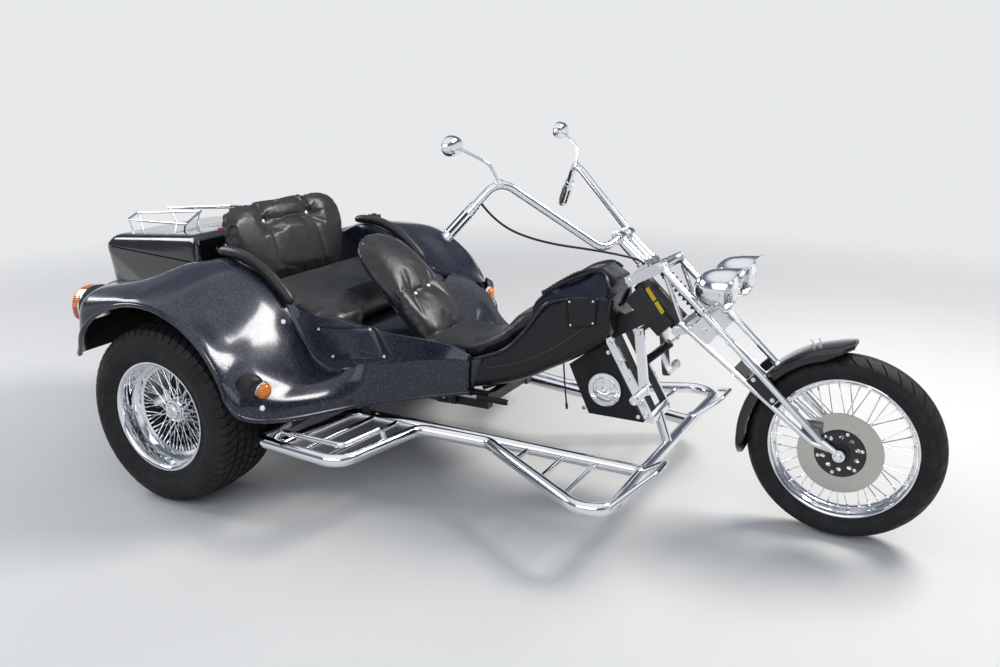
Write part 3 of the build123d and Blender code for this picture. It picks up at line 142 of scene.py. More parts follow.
class Shape:
    """The faces of one piece, gathered before they become a mesh."""

    def __init__(self):
        self.points = []
        self.faces = []
        self.finishes = []

    def add(self, points, faces, finish=0):
        """Adds points and faces that share one finish."""
        first = len(self.points)
        self.points += [Vector(point) for point in points]
        self.faces += [[first + index for index in face] for face in faces]
        self.finishes += [finish] * len(faces)

    def grid(self, rows, finish=0, round_rows=False, round_columns=False):
        """Adds a net of faces over rows of points."""
        high, wide = len(rows), len(rows[0])
        faces = []
        for i in range(high if round_rows else high - 1):
            for j in range(wide if round_columns else wide - 1):
                faces.append([i * wide + j, i * wide + (j + 1) % wide, (i + 1) % high * wide + (j + 1) % wide,
                    (i + 1) % high * wide + j])
        self.add([point for row in rows for point in row], faces, finish)

    def loft(self, rows, finish=0, last_finish=None):
        """Adds a closed form through rings of points, flat at both ends."""
        wide = len(rows[0])
        start = len(self.points)
        last = start + wide * (len(rows) - 1)
        self.grid(rows, finish, round_columns=True)
        self.faces += [list(range(start, start + wide)), list(range(last, last + wide))]
        self.finishes += [finish, finish if last_finish is None else last_finish]

    def lathe(self, centre, axis, outline, segments=48, finish=0, closed=False):
        """Adds a turned form from an outline of (along the axis, radius)."""
        first, second = across(axis)
        axis = Vector(axis).normalized()
        rows = [circle(Vector(centre) + axis * along, first, second, max(radius, 0.0002), segments) for along,
            radius in outline]
        if closed:
            self.grid(rows, finish, round_rows=True, round_columns=True)
            return
        self.loft(rows, finish)

    def rod(self, start, end, radius, segments=12, finish=0):
        """Adds a straight round bar, its edges slightly rounded."""
        start, end = Vector(start), Vector(end)
        length = (end - start).length
        edge = min(0.12 * radius, 0.0015)
        self.lathe(start, end - start, [(0, radius - edge), (edge, radius), (length - edge, radius),
            (length, radius - edge)], segments, finish)

    def tube(self, points, radius, segments=10, finish=0):
        """Adds a bent tube along points."""
        points = [Vector(point) for point in points]
        first, second = across(points[1] - points[0])
        rows = []
        for index, point in enumerate(points):
            ahead = points[min(index + 1, len(points) - 1)] - points[max(index - 1, 0)]
            ahead.normalize()
            first = (first - ahead * first.dot(ahead)).normalized()
            second = ahead.cross(first)
            rows.append(circle(point, first, second, radius, segments))
        self.loft(rows, finish)

    def block(self, centre, size, finish=0, x_axis=(1, 0, 0), y_axis=(0, 1, 0), taper=0.0):
        """Adds a block with its own axes; taper narrows its top."""
        x_axis, y_axis = Vector(x_axis).normalized(), Vector(y_axis).normalized()
        z_axis = x_axis.cross(y_axis)
        points = []
        for k in (-1, 1):
            share = 1 - taper * (k + 1) / 2
            for i, j in ((-1, -1), (1, -1), (1, 1), (-1, 1)):
                points.append(Vector(centre) + x_axis * (i * size[0] / 2 * share) + y_axis
                    * (j * size[1] / 2 * share) + z_axis * (k * size[2] / 2))
        self.add(points, [[0, 3, 2, 1], [4, 5, 6, 7], [0, 1, 5, 4], [1, 2, 6, 5], [2, 3, 7, 6], [3, 0, 4, 7]], finish)

    def slab(self, outline, low_y, high_y, finish=0):
        """Adds a plate from a side outline of (x, z) points carried across."""
        count = len(outline)
        points = [(x, y, z) for y in (low_y, high_y) for x, z in outline]
        faces = [list(range(count)), list(range(count, 2 * count))]
        faces += [[k, (k + 1) % count, count + (k + 1) % count, count + k] for k in range(count)]
        self.add(points, faces, finish)

    def bolt(self, centre, axis, radius=0.007, height=0.006, finish=0):
        """Adds a hexagon head on a washer."""
        axis = Vector(axis).normalized()
        centre = Vector(centre)
        self.lathe(centre - axis * 0.001, axis, [(0, radius * 1.35), (0.0016, radius * 1.35),
            (0.002, radius * 1.25)], 20, finish)
        self.lathe(centre, axis, [(0.001, radius), (height * 0.8, radius), (height, radius * 0.86)], 6, finish)

    def thing(self, name, finishes, angle=32, turned=True):
        """Makes the gathered faces into an object; turned faces them all outwards."""
        mesh = bpy.data.meshes.new(name)
        mesh.from_pydata(self.points, [], self.faces)
        for finish_name in finishes.split():
            mesh.materials.append(finish(finish_name))
        mesh.polygons.foreach_set("material_index", self.finishes)
        shape = bmesh.new()
        shape.from_mesh(mesh)
        bmesh.ops.remove_doubles(shape, verts=shape.verts, dist=0.00002)
        bmesh.ops.dissolve_degenerate(shape, edges=shape.edges, dist=0.00001)
        if turned:
            bmesh.ops.recalc_face_normals(shape, faces=shape.faces)
        shape.to_mesh(mesh)
        shape.free()
        mesh.shade_smooth()
        mesh.set_sharp_from_angle(angle=math.radians(angle))
        made = bpy.data.objects.new(name, mesh)
        bpy.context.scene.collection.objects.link(made)
        return made

    def piece(self, name, finishes, body, angle=32, bevel=0.0, levels=0, stands_for=None, slot=None, turned=True):
        """Makes the gathered faces into a piece that rides on a body."""
        made = self.thing(name, finishes, angle, turned)
        if bevel:
            softened = made.modifiers.new("worn edges", "BEVEL")
            softened.width = bevel
            softened.segments = 2
            softened.limit_method = "ANGLE"
            softened.angle_limit = math.radians(40)
            softened.harden_normals = True
        if levels:
            rounded = made.modifiers.new("rounding", "SUBSURF")
            rounded.levels = rounded.render_levels = levels
        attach(made, body)
        if stands_for:
            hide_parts(stands_for)
        return made


# Finishes
def node(tree, kind, sockets=None, **settings):
    """Adds a shader node, sets it up and wires or fills its named sockets."""
    made = tree.nodes.new("ShaderNode" + kind)
    for key, value in settings.items():
        setattr(made, key, value)
    for key, value in (sockets or {}).items():
        if isinstance(value, bpy.types.NodeSocket):
            tree.links.new(value, made.inputs[key])
        else:
            made.inputs[key].default_value = value
    return made


def node_group(name, inputs, outputs):
    """Starts a shared shader group with named sockets."""
    tree = bpy.data.node_groups.new(name, "ShaderNodeTree")
    for label, kind, default in inputs:
        made = tree.interface.new_socket(label, in_out="INPUT", socket_type=kind)
        made.default_value = default
    for label, kind in outputs:
        tree.interface.new_socket(label, in_out="OUTPUT", socket_type=kind)
    return tree, tree.nodes.new("NodeGroupInput"), tree.nodes.new("NodeGroupOutput")


def grain_group():
    """Pebbled grain with finer noise in it: a height for bump."""
    tree, given, out = node_group("Grain", [("Scale", "NodeSocketFloat", 500.0),
        ("Noise", "NodeSocketFloat", 0.4)], [("Height", "NodeSocketFloat")])
    place = node(tree, "TexCoord").outputs["Object"]
    cells = node(tree, "TexVoronoi", {"Vector": place, "Scale": given.outputs["Scale"]}, feature="SMOOTH_F1")
    fine = node(tree, "TexNoise", {"Vector": place, "Scale": given.outputs["Scale"], "Detail": 3.0})
    mixed = node(tree, "Math", {0: fine.outputs["Fac"], 1: given.outputs["Noise"], 2: cells.outputs["Distance"]},
        operation="MULTIPLY_ADD")
    tree.links.new(mixed.outputs[0], out.inputs["Height"])
    return tree


def dust_group():
    """Dust that settles on upward faces in patches: a mask."""
    tree, given, out = node_group("Dust", [("Amount", "NodeSocketFloat", 0.3), ("Scale", "NodeSocketFloat", 6.0)],
        [("Mask", "NodeSocketFloat")])
    place = node(tree, "TexCoord").outputs["Object"]
    up = node(tree, "SeparateXYZ", {0: node(tree, "NewGeometry").outputs["Normal"]})
    lying = node(tree, "MapRange", {0: up.outputs["Z"], 1: 0.1, 2: 1.0})
    patches = node(tree, "TexNoise", {"Vector": place, "Scale": given.outputs["Scale"], "Detail": 6.0,
        "Roughness": 0.65})
    shaped = node(tree, "MapRange", {0: patches.outputs["Fac"], 1: 0.38, 2: 0.75})
    both = node(tree, "Math", {0: shaped.outputs[0], 1: lying.outputs[0]}, operation="MULTIPLY")
    scaled = node(tree, "Math", {0: both.outputs[0], 1: given.outputs["Amount"]}, operation="MULTIPLY",
        use_clamp=True)
    tree.links.new(scaled.outputs[0], out.inputs["Mask"])
    return tree


def smudge_group():
    """Uneven polish: a roughness that wanders between two values."""
    tree, given, out = node_group("Smudge", [("Clean", "NodeSocketFloat", 0.05), ("Dull", "NodeSocketFloat", 0.2),
        ("Scale", "NodeSocketFloat", 9.0)], [("Roughness", "NodeSocketFloat")])
    place = node(tree, "TexCoord").outputs["Object"]
    cloud = node(tree, "TexNoise", {"Vector": place, "Scale": given.outputs["Scale"], "Detail": 8.0,
        "Roughness": 0.7})
    spread = node(tree, "MapRange", {0: cloud.outputs["Fac"], 1: 0.35, 2: 0.75, 3: given.outputs["Clean"],
        4: given.outputs["Dull"]})
    tree.links.new(spread.outputs[0], out.inputs["Roughness"])
    return tree


MATERIALS = {}
SHARED = {}


class Finish:
    """A procedural material under way: its Principled shader and what feeds it."""

    def __init__(self, name, **sockets):
        made = MATERIALS[name] = bpy.data.materials.new(name)
        made.use_nodes = True
        self.tree = made.node_tree
        self.shader = self.tree.nodes["Principled BSDF"]
        self.place = node(self.tree, "TexCoord").outputs["Object"]
        for key, value in sockets.items():
            self.shader.inputs[key.replace("_", " ")].default_value = \
                (*value, 1.0) if isinstance(value, tuple) else value

    def add(self, kind, sockets=None, **settings):
        """Adds a node and gives its first output."""
        return node(self.tree, kind, sockets, **settings).outputs[0]

    def wire(self, value, socket):
        """Wires a value to the shader."""
        self.tree.links.new(value, self.shader.inputs[socket])

    def noise(self, scale, detail, roughness=0.5, distortion=0.0):
        """Cloudy noise."""
        return self.add("TexNoise", {"Vector": self.place, "Scale": scale, "Detail": detail,
            "Roughness": roughness, "Distortion": distortion})

    def wave(self, scale, direction, distortion=0.0):
        """Bands along a direction."""
        return node(self.tree, "TexWave", {"Vector": self.place, "Scale": scale, "Distortion": distortion},
            bands_direction=direction).outputs["Fac"]

    def mask(self, value, low, high, most=1.0):
        """A value stretched from between low and high."""
        return self.add("MapRange", {0: value, 1: low, 2: high, 4: most})

    def shared(self, maker, **values):
        """Places a shared group and fills its sockets."""
        if maker not in SHARED:
            SHARED[maker] = maker()
        return self.add("Group", values, node_tree=SHARED[maker])

    def dust(self, amount, scale):
        """Dust on upward faces, as a mask."""
        return self.shared(dust_group, Amount=amount, Scale=scale)

    def blend(self, mask, plain, other):
        """Mixes two colours by a mask."""
        mixed = node(self.tree, "Mix", {"Factor": mask}, data_type="RGBA")
        for index, value in ((6, plain), (7, other)):
            if isinstance(value, bpy.types.NodeSocket):
                self.tree.links.new(value, mixed.inputs[index])
            else:
                mixed.inputs[index].default_value = (*value, 1.0)
        return mixed.outputs[2]

    def tint(self, mask, plain, other):
        """Colours the shader with a mix of two colours."""
        self.wire(self.blend(mask, plain, other), "Base Color")

    def rough(self, clean, dull, scale):
        """Gives the shader an uneven polish."""
        self.wire(self.shared(smudge_group, Clean=clean, Dull=dull, Scale=scale), "Roughness")

    def bump(self, height, distance, strength):
        """Adds a height to the shader's normal, over any that is there."""
        sockets = {"Height": height, "Distance": distance, "Strength": strength}
        below = self.shader.inputs["Normal"].links
        if below:
            sockets["Normal"] = below[0].from_socket
        self.wire(self.add("Bump", sockets), "Normal")

    def grain(self, scale, noise, distance, strength):
        """Adds pebbled grain to the normal."""
        self.bump(self.shared(grain_group, Scale=scale, Noise=noise), distance, strength)


def body_paint(name):
    """Near-black navy metal flake under clear lacquer, with a film of dust."""
    colours = bpy.context.scene.trike_paint
    coat = Finish(name, Coat_Weight=0.8, Coat_Roughness=0.13, Metallic=0.35, Specular_IOR_Level=0.25)
    flakes = node(coat.tree, "TexVoronoi", {"Vector": coat.place, "Scale": 1.0 / colours.flake_size})
    glint = coat.mask(coat.add("SeparateColor", {0: flakes.outputs["Color"]}), 0.9, 1.0)
    flaked = coat.blend(glint, colours.body_colour, colours.flake_colour)
    coat.tint(coat.dust(0.1, 5.0), flaked, (0.16, 0.14, 0.12))
    coat.rough(0.22, 0.42, 7.0)
    coat.bump(coat.noise(90.0, 1.0), 0.0002, 0.25)


def leather(name):
    """Black upholstery leather: pebbled grain, soft creases and worn sheen."""
    coat = Finish(name, Sheen_Weight=0.05, Specular_IOR_Level=0.5)
    coat.tint(coat.dust(0.22, 9.0), (0.009, 0.009, 0.01), (0.035, 0.034, 0.034))
    coat.rough(0.3, 0.46, 11.0)
    coat.bump(coat.noise(16.0, 5.0, distortion=1.2), 0.004, 0.35)
    coat.grain(620.0, 0.5, 0.0004, 0.5)


def chrome(name):
    """Polished chrome with fingerprints and fine pitting."""
    coat = Finish(name, Metallic=1.0, Base_Color=(0.8, 0.81, 0.83))
    coat.rough(0.04, 0.15, 14.0)
    coat.grain(160.0, 0.3, 0.0001, 0.05)


def worn(name, metallic, specular, stains, plain, other, rough, grain):
    """Metal, paint or rubber: dust or stains over its colour, uneven polish and grain."""
    coat = Finish(name, Metallic=metallic, Specular_IOR_Level=specular)
    mask = coat.dust(*stains) if len(stains) == 2 else coat.mask(coat.noise(*stains[:3]), *stains[3:])
    coat.tint(mask, plain, other)
    coat.rough(*rough)
    coat.grain(*grain)


def moulded(name, colour, clean, dull, scale, depth, wrinkle=0.0, dust=0.15):
    """Moulded plastic or rubber, with grain and optional wrinkles."""
    coat = Finish(name, Specular_IOR_Level=0.32)
    coat.tint(coat.dust(dust, 12.0), colour, (0.12, 0.11, 0.1))
    coat.rough(clean, dull, 10.0)
    if wrinkle:
        coat.bump(coat.noise(22.0, 6.0, distortion=1.6), wrinkle, 0.6)
    coat.grain(scale, 0.5, depth, 0.4)


def turned_steel(name):
    """Brake disc: steel turned in fine rings about the front axle, its carrier black."""
    coat = Finish(name)
    offset = coat.add("VectorMath", {0: coat.place, 1: FRONT_AXLE}, operation="SUBTRACT")
    flat = coat.add("VectorMath", {0: offset, 1: (1, 0, 1)}, operation="MULTIPLY")
    radius = node(coat.tree, "VectorMath", {0: flat}, operation="LENGTH").outputs["Value"]
    rings = coat.add("TexNoise", {"Vector": coat.add("CombineXYZ", {0: radius}), "Scale": 900.0, "Detail": 2.0})
    disc = coat.mask(radius, 0.0835, 0.0845)
    steel = coat.blend(rings, (0.34, 0.33, 0.31), (0.62, 0.6, 0.57))
    coat.tint(disc, (0.012, 0.012, 0.013), steel)
    coat.wire(disc, "Metallic")
    coat.rough(0.16, 0.34, 20.0)
    coat.bump(rings, 0.0002, 0.3)


def lens(name, colour):
    """Coloured lamp lens with moulded ribs."""
    coat = Finish(name, Roughness=0.08, Coat_Weight=0.6, Subsurface_Weight=0.25)
    ribs = coat.wave(45.0, "Z")
    coat.tint(ribs, [0.55 * value for value in colour], colour)
    coat.bump(ribs, 0.0008, 0.4)


def clear_glass(name):
    """Headlight glass, fluted in upright bands."""
    coat = Finish(name, Base_Color=(0.96, 0.98, 1.0), Roughness=0.02, Transmission_Weight=1.0, IOR=1.45)
    coat.bump(coat.wave(22.0, "Y"), 0.001, 0.35)


def mirror_glass(name):
    """Silvered mirror with a faint film."""
    Finish(name, Metallic=1.0, Base_Color=(0.9, 0.92, 0.94)).rough(0.01, 0.06, 20.0)


def boot_paint(name):
    """Plain gloss paint under lacquer, with faint waves and dust."""
    coat = Finish(name, Coat_Weight=0.7, Coat_Roughness=0.05, Specular_IOR_Level=0.25)
    coat.tint(coat.dust(0.12, 6.0), (0.005, 0.005, 0.006), (0.15, 0.14, 0.12))
    coat.rough(0.1, 0.25, 6.0)
    coat.bump(coat.noise(5.0, 2.0), 0.002, 0.25)


def webbing(name, colour):
    """Woven belt webbing."""
    coat = Finish(name, Roughness=0.75)
    weave = coat.wave(320.0, "DIAGONAL", 1.0)
    coat.tint(weave, [0.5 * value for value in colour], colour)
    coat.bump(weave, 0.0006, 0.6)


# Each finish with its maker and the maker's values
MAKERS = {
    "body_paint": (body_paint,),
    "black_leather": (leather,),
    "chrome": (chrome,),
    "bright_link": (worn, 1.0, 0.5, (0.5, 15.0), (0.72, 0.72, 0.74), (0.45, 0.44, 0.42), (0.1, 0.3, 20.0),
                    (500.0, 0.6, 0.0002, 0.2)),
    "tyre_rubber": (worn, 0.0, 0.3, (14.0, 8.0, 0.7, 0.45, 0.85, 0.45), (0.01, 0.01, 0.011), (0.045, 0.043, 0.04),
                    (0.55, 0.85, 20.0), (900.0, 0.8, 0.0003, 0.35)),
    "frame_paint": (worn, 0.1, 0.5, (0.6, 20.0), (0.012, 0.012, 0.013), (0.1, 0.085, 0.07), (0.3, 0.7, 18.0),
                    (240.0, 1.0, 0.0004, 0.3)),
    "cast_metal": (worn, 0.85, 0.5, (9.0, 7.0, 0.7, 0.42, 0.7), (0.3, 0.3, 0.31), (0.09, 0.08, 0.07),
                   (0.38, 0.7, 16.0), (420.0, 1.2, 0.0006, 0.5)),
    "burnt_steel": (worn, 0.7, 0.5, (7.0, 8.0, 0.75, 0.4, 0.65), (0.16, 0.15, 0.15), (0.13, 0.06, 0.035),
                    (0.4, 0.8, 14.0), (320.0, 1.2, 0.0006, 0.5)),
    "turned_steel": (turned_steel,),
    "clear_glass": (clear_glass,),
    "mirror_glass": (mirror_glass,),
    "amber_lens": (lens, (0.9, 0.24, 0.015)),
    "red_lens": (lens, (0.55, 0.012, 0.008)),
    "boot_paint": (boot_paint,),
    "spine_plastic": (moulded, (0.01, 0.01, 0.012), 0.16, 0.36, 260.0, 0.0003, 0.005, 0.25),
    "black_plastic": (moulded, (0.013, 0.013, 0.014), 0.35, 0.6, 700.0, 0.0004),
    "grip_rubber": (moulded, (0.01, 0.01, 0.011), 0.6, 0.8, 900.0, 0.0005),
    "blue_plastic": (moulded, (0.004, 0.006, 0.02), 0.18, 0.35, 500.0, 0.0003),
    "yellow_stripe": (moulded, (0.62, 0.42, 0.02), 0.35, 0.6, 600.0, 0.0002, 0.0, 0.4),
    "underseal": (moulded, (0.012, 0.012, 0.012), 0.7, 0.9, 200.0, 0.0015, 0.004, 0.2),
    "boot_lining": (moulded, (0.02, 0.02, 0.02), 0.8, 0.95, 300.0, 0.001, 0.003, 0.1),
    "seam_wear": (moulded, (0.03, 0.03, 0.03), 0.35, 0.6, 200.0, 0.0008, 0.002, 0.9),
    "box_black": (moulded, (0.01, 0.01, 0.011), 0.5, 0.75, 400.0, 0.0004, 0.0, 0.2),
    "grey_display": (moulded, (0.1, 0.11, 0.11), 0.15, 0.35, 500.0, 0.0001, 0.0, 0.3),
    "plate_white": (moulded, (0.7, 0.7, 0.66), 0.3, 0.5, 500.0, 0.0001, 0.0, 0.3),
    "red_webbing": (webbing, (0.55, 0.02, 0.02)),
    "black_webbing": (webbing, (0.02, 0.02, 0.02)),
}


def finish(name):
    """The material of that name, made once."""
    if name not in MATERIALS:
        maker, *values = MAKERS[name]
        maker(name, *values)
    return MATERIALS[name]


def dress(node_name, finish_name):
    """Gives a carried-over CAD node its finish and smooth curves."""
    carried = frame["nodes"][node_name]
    carried.data.materials.clear()
    carried.data.materials.append(finish(finish_name))
    carried.data.shade_smooth()
    carried.data.set_sharp_from_angle(angle=math.radians(30))


# Stage, camera and lamps
def colour_value(name, description, default):
    """A colour in the panel."""
    return bpy.props.FloatVectorProperty(name=name, description=description, subtype="COLOR", size=3, min=0,
        max=1, default=default)


class TrikeStage(bpy.types.PropertyGroup):
    floor_colour: colour_value("Floor colour", "Colour of the studio floor", (0.66, 0.66, 0.65))
    lamp_power: bpy.props.FloatProperty(name="Lamp power", description="Power of the key lamp", default=260.0,
        min=0, unit="POWER")
    horizon: colour_value("Horizon colour", "Colour behind the trike", (0.8, 0.815, 0.83))


class TrikePaint(bpy.types.PropertyGroup):
    body_colour: colour_value("Body colour", "Ground coat of the body", (0.0045, 0.0055, 0.015))
    flake_colour: colour_value("Flake colour", "Colour of the metal flakes", (0.17, 0.2, 0.32))
    flake_size: bpy.props.FloatProperty(name="Flake size", description="Size of one flake", default=0.0013,
        min=0.0005, unit="LENGTH")


class TrikeWheels(bpy.types.PropertyGroup):
    rear_wires: bpy.props.IntProperty(name="Rear wires", description="Wires in each rear wheel", default=60, min=12)
    front_wires: bpy.props.IntProperty(name="Front wires", description="Wires in the front wheel", default=40, min=12)
    rear_blocks: bpy.props.IntProperty(name="Rear tread blocks", description="Tread blocks round a rear tyre",
        default=58, min=8)
    front_blocks: bpy.props.IntProperty(name="Front tread blocks",
        description="Tread blocks round the front tyre", default=38, min=8)


class TrikeSeats(bpy.types.PropertyGroup):
    pressure: bpy.props.FloatProperty(name="Stuffing", description="Pressure that fills the cushions",
        default=4.0, min=0)
    dent: bpy.props.FloatProperty(name="Button depth", description="How deep a button pulls the leather in",
        default=0.02, min=0, unit="LENGTH")


def soft_lamp(name, place, target, size, power, colour):
    """A large rectangular studio lamp aimed at a point."""
    data = bpy.data.lights.new(name, "AREA")
    data.shape = "RECTANGLE"
    data.size, data.size_y = size
    data.energy = power
    data.color = colour
    lamp = bpy.data.objects.new(name, data)
    lamp.location = place
    lamp.rotation_euler = (Vector(target) - Vector(place)).to_track_quat("-Z", "Y").to_euler()
    bpy.context.scene.collection.objects.link(lamp)


def seen_rays(tree):
    """1 for rays that are seen, reflected or come through glass, 0 for those that only light."""
    rays = node(tree, "LightPath")
    seen = node(tree, "Math", {0: rays.outputs["Is Camera Ray"], 1: rays.outputs["Is Glossy Ray"]},
        operation="MAXIMUM")
    return node(tree, "Math", {0: seen.outputs[0], 1: rays.outputs["Is Transmission Ray"]},
        operation="MAXIMUM").outputs[0]


def studio_sky(colour):
    """Studio surroundings: seen and reflected as pale walls under a darker ceiling, and dimmer as light."""
    world = bpy.data.worlds.new("studio")
    bpy.context.scene.world = world
    world.use_nodes = True
    tree = world.node_tree
    shown = tree.nodes["Background"]
    height = node(tree, "SeparateXYZ", {0: node(tree, "TexCoord").outputs["Generated"]})
    walls = node(tree, "ValToRGB", {0: height.outputs["Z"]})
    ramp = walls.color_ramp
    for element, place in zip(ramp.elements, (0.0, 0.09)):
        element.position = place
        element.color = (*colour, 1)
    for place, grey in ((0.16, (0.28, 0.3, 0.34)), (0.42, (0.1, 0.12, 0.16)), (0.62, (0.22, 0.26, 0.33)),
            (0.8, (0.85, 0.89, 0.95)), (1.0, (1.0, 1.0, 1.0))):
        ramp.elements.new(place).color = (*grey, 1)
    tree.links.new(walls.outputs["Color"], shown.inputs["Color"])
    light = node(tree, "Background", {"Color": (0.8, 0.86, 1.0, 1), "Strength": 0.42})
    mixed = node(tree, "MixShader", {0: seen_rays(tree), 1: light.outputs[0], 2: shown.outputs[0]})
    tree.links.new(mixed.outputs[0], tree.nodes["World Output"].inputs["Surface"])


class OBJECT_OT_trike_stage(bpy.types.Operator):
    """Floor, surroundings, lamps and the camera at the photograph's place"""
    bl_idname = "object.trike_stage"
    bl_label = "Stage and camera"

    def execute(self, context):
        stage = context.scene.trike_stage
        coat = Finish("studio_floor", Roughness=0.62)
        coat.tint(coat.noise(1.3, 5.0), [0.93 * value for value in stage.floor_colour], stage.floor_colour)
        coat.bump(coat.noise(260.0, 2.0), 0.0006, 0.2)
        far = node(coat.tree, "VectorMath", {0: coat.place}, operation="LENGTH")
        fade = coat.add("MapRange", {0: far.outputs["Value"], 1: 2.3, 2: 6.5}, interpolation_type="SMOOTHSTEP")
        share = coat.add("Math", {0: fade, 1: seen_rays(coat.tree)}, operation="MULTIPLY")
        pale = coat.add("Emission", {"Color": (*stage.horizon, 1), "Strength": 1.0})
        mixed = coat.add("MixShader", {0: share, 1: coat.shader.outputs[0], 2: pale})
        coat.tree.links.new(mixed, coat.tree.nodes["Material Output"].inputs["Surface"])
        ring = circle(Vector((0, 0, 0)), Vector((1, 0, 0)), Vector((0, 1, 0)), FLOOR_REACH, 96)
        mesh = bpy.data.meshes.new("studio_floor")
        mesh.from_pydata(ring, [], [list(range(96))])
        mesh.materials.append(MATERIALS["studio_floor"])
        floor = bpy.data.objects.new("studio_floor", mesh)
        context.scene.collection.objects.link(floor)

        studio_sky(tuple(stage.horizon))
        soft_lamp("key", (2.6, 2.4, 4.2), (0, 0, 0.4), (2.6, 1.6), stage.lamp_power, (1.0, 0.97, 0.92))
        soft_lamp("fill", (1.2, -4.6, 3.4), (0, 0, 0.5), (6.5, 3.2), 0.4 * stage.lamp_power, (0.9, 0.95, 1.0))
        soft_lamp("rim", (-4.2, -1.0, 3.0), (-0.6, 0, 0.5), (2.4, 1.6), 0.34 * stage.lamp_power, (1.0, 1.0, 1.0))

        camera = bpy.data.objects.new("camera", bpy.data.cameras.new("camera"))
        camera.data.lens = 34.46
        camera.data.sensor_width = 36.0
        camera.data.clip_end = 200.0
        camera.location = (1.8109, -3.2359, 1.5801)
        camera.rotation_euler = (math.radians(90 - 15.76), 0, math.radians(27.64))
        context.scene.collection.objects.link(camera)
        context.scene.camera = camera
        context.scene.view_settings.view_transform = "Standard"
        return {"FINISHED"}


# Cords
def cord(name, points, radius, finish_name, body, node_name):
    """A cord through its route's points."""
    curve = bpy.data.curves.new(name, "CURVE")
    curve.dimensions = "3D"
    line = curve.splines.new("NURBS")
    line.points.add(len(points) - 1)
    for point, place in zip(line.points, points):
        point.co = (*place, 1.0)
    line.order_u = 3
    line.use_endpoint_u = True
    line.resolution_u = 12
    curve.bevel_depth = radius
    curve.bevel_resolution = 4
    curve.use_fill_caps = True
    curve.materials.append(finish(finish_name))
    made = bpy.data.objects.new(name, curve)
    bpy.context.scene.collection.objects.link(made)
    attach(made, body)
    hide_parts(node_name)
    return made


class OBJECT_OT_trike_cords(bpy.types.Operator):
    """Throttle cable from the right grip, and the loose lead under the spine"""
    bl_idname = "object.trike_cords"
    bl_label = "Cable and loose lead"

    def execute(self, context):
        throttle = table(""".2395,-.387,1.131 .2835,-.352,1.051 .4395,-.33,.995 .6495,-.21,.96 .7495,-.06,.905
            .6939,-.03,.865""")
        cable = cord("throttle_cable_line", throttle, 0.004, "black_plastic", "steering", "throttle_cable")
        lead = table(".4205,-.06,.486 .4245,-.062,.42 .4365,-.064,.33")
        wire = cord("loose_lead_line", lead, 0.003, "black_plastic", "chassis", "loose_lead")
        plug = Shape()
        down = (Vector((0.4385, -0.064, 0.308)) - Vector(lead[-1])).normalized()
        plug.lathe(Vector(lead[-1]) - down * 0.004, down, table("""0,.0034 .004,.0045 .006,.005 .018,.005 .019,.0042
            .021,.0042 .022,.005 .0255,.0048 .026,.003"""), 20)
        tip = plug.piece("loose_lead_plug", "black_plastic", "chassis")
        return {"FINISHED"}


# Wheels
def tyre_net(shape, centre, outward, rows, blocks, cuts, skew):
    """Adds a tyre: rows of (across, radius, cut depth), notched round in blocks."""
    net = []
    for block in range(blocks):
        for share, sunk in cuts:
            ring = []
            for across_tyre, radius, depth in rows:
                angle = math.tau * (block + share + skew(across_tyre)) / blocks
                ring.append(wheel_point(centre, radius - depth * sunk, angle, outward * across_tyre))
            net.append(ring)
    shape.grid(net, 0, round_rows=True, round_columns=True)


def coil(start, along, rise, length, turns, radius, count):
    """Points of a spring's wire, from a height above its start."""
    first, second = across(along)
    points = []
    for k in range(count):
        angle = math.tau * turns * k / (count - 1)
        points.append(start + along * (rise + length * k / (count - 1))
            + (first * math.cos(angle) + second * math.sin(angle)) * radius)
    return points


def mirrored(rows):
    """Rows from one wall to the middle, then back to the other wall."""
    return rows + [(-v, *rest) for v, *rest in reversed(rows) if v > 0.0001]


def wire_set(shape, centre, outward, count, hub_radius, hub_faces, rim_radius, rim_faces, lean, radius):
    """Adds crossing wires with a nipple at each rim end."""
    for number in range(count):
        face = number % 2
        turn = lean if number % 4 < 2 else -lean
        high = math.tau * number / count
        low = high + math.radians(turn)
        start = wheel_point(centre, hub_radius, low, outward * hub_faces[face])
        end = wheel_point(centre, rim_radius, high, outward * rim_faces[face])
        along = (end - start).normalized()
        shape.rod(start, end, radius, 7)
        shape.rod(end - along * 0.016, end + along * 0.002, radius * 1.75, 8)


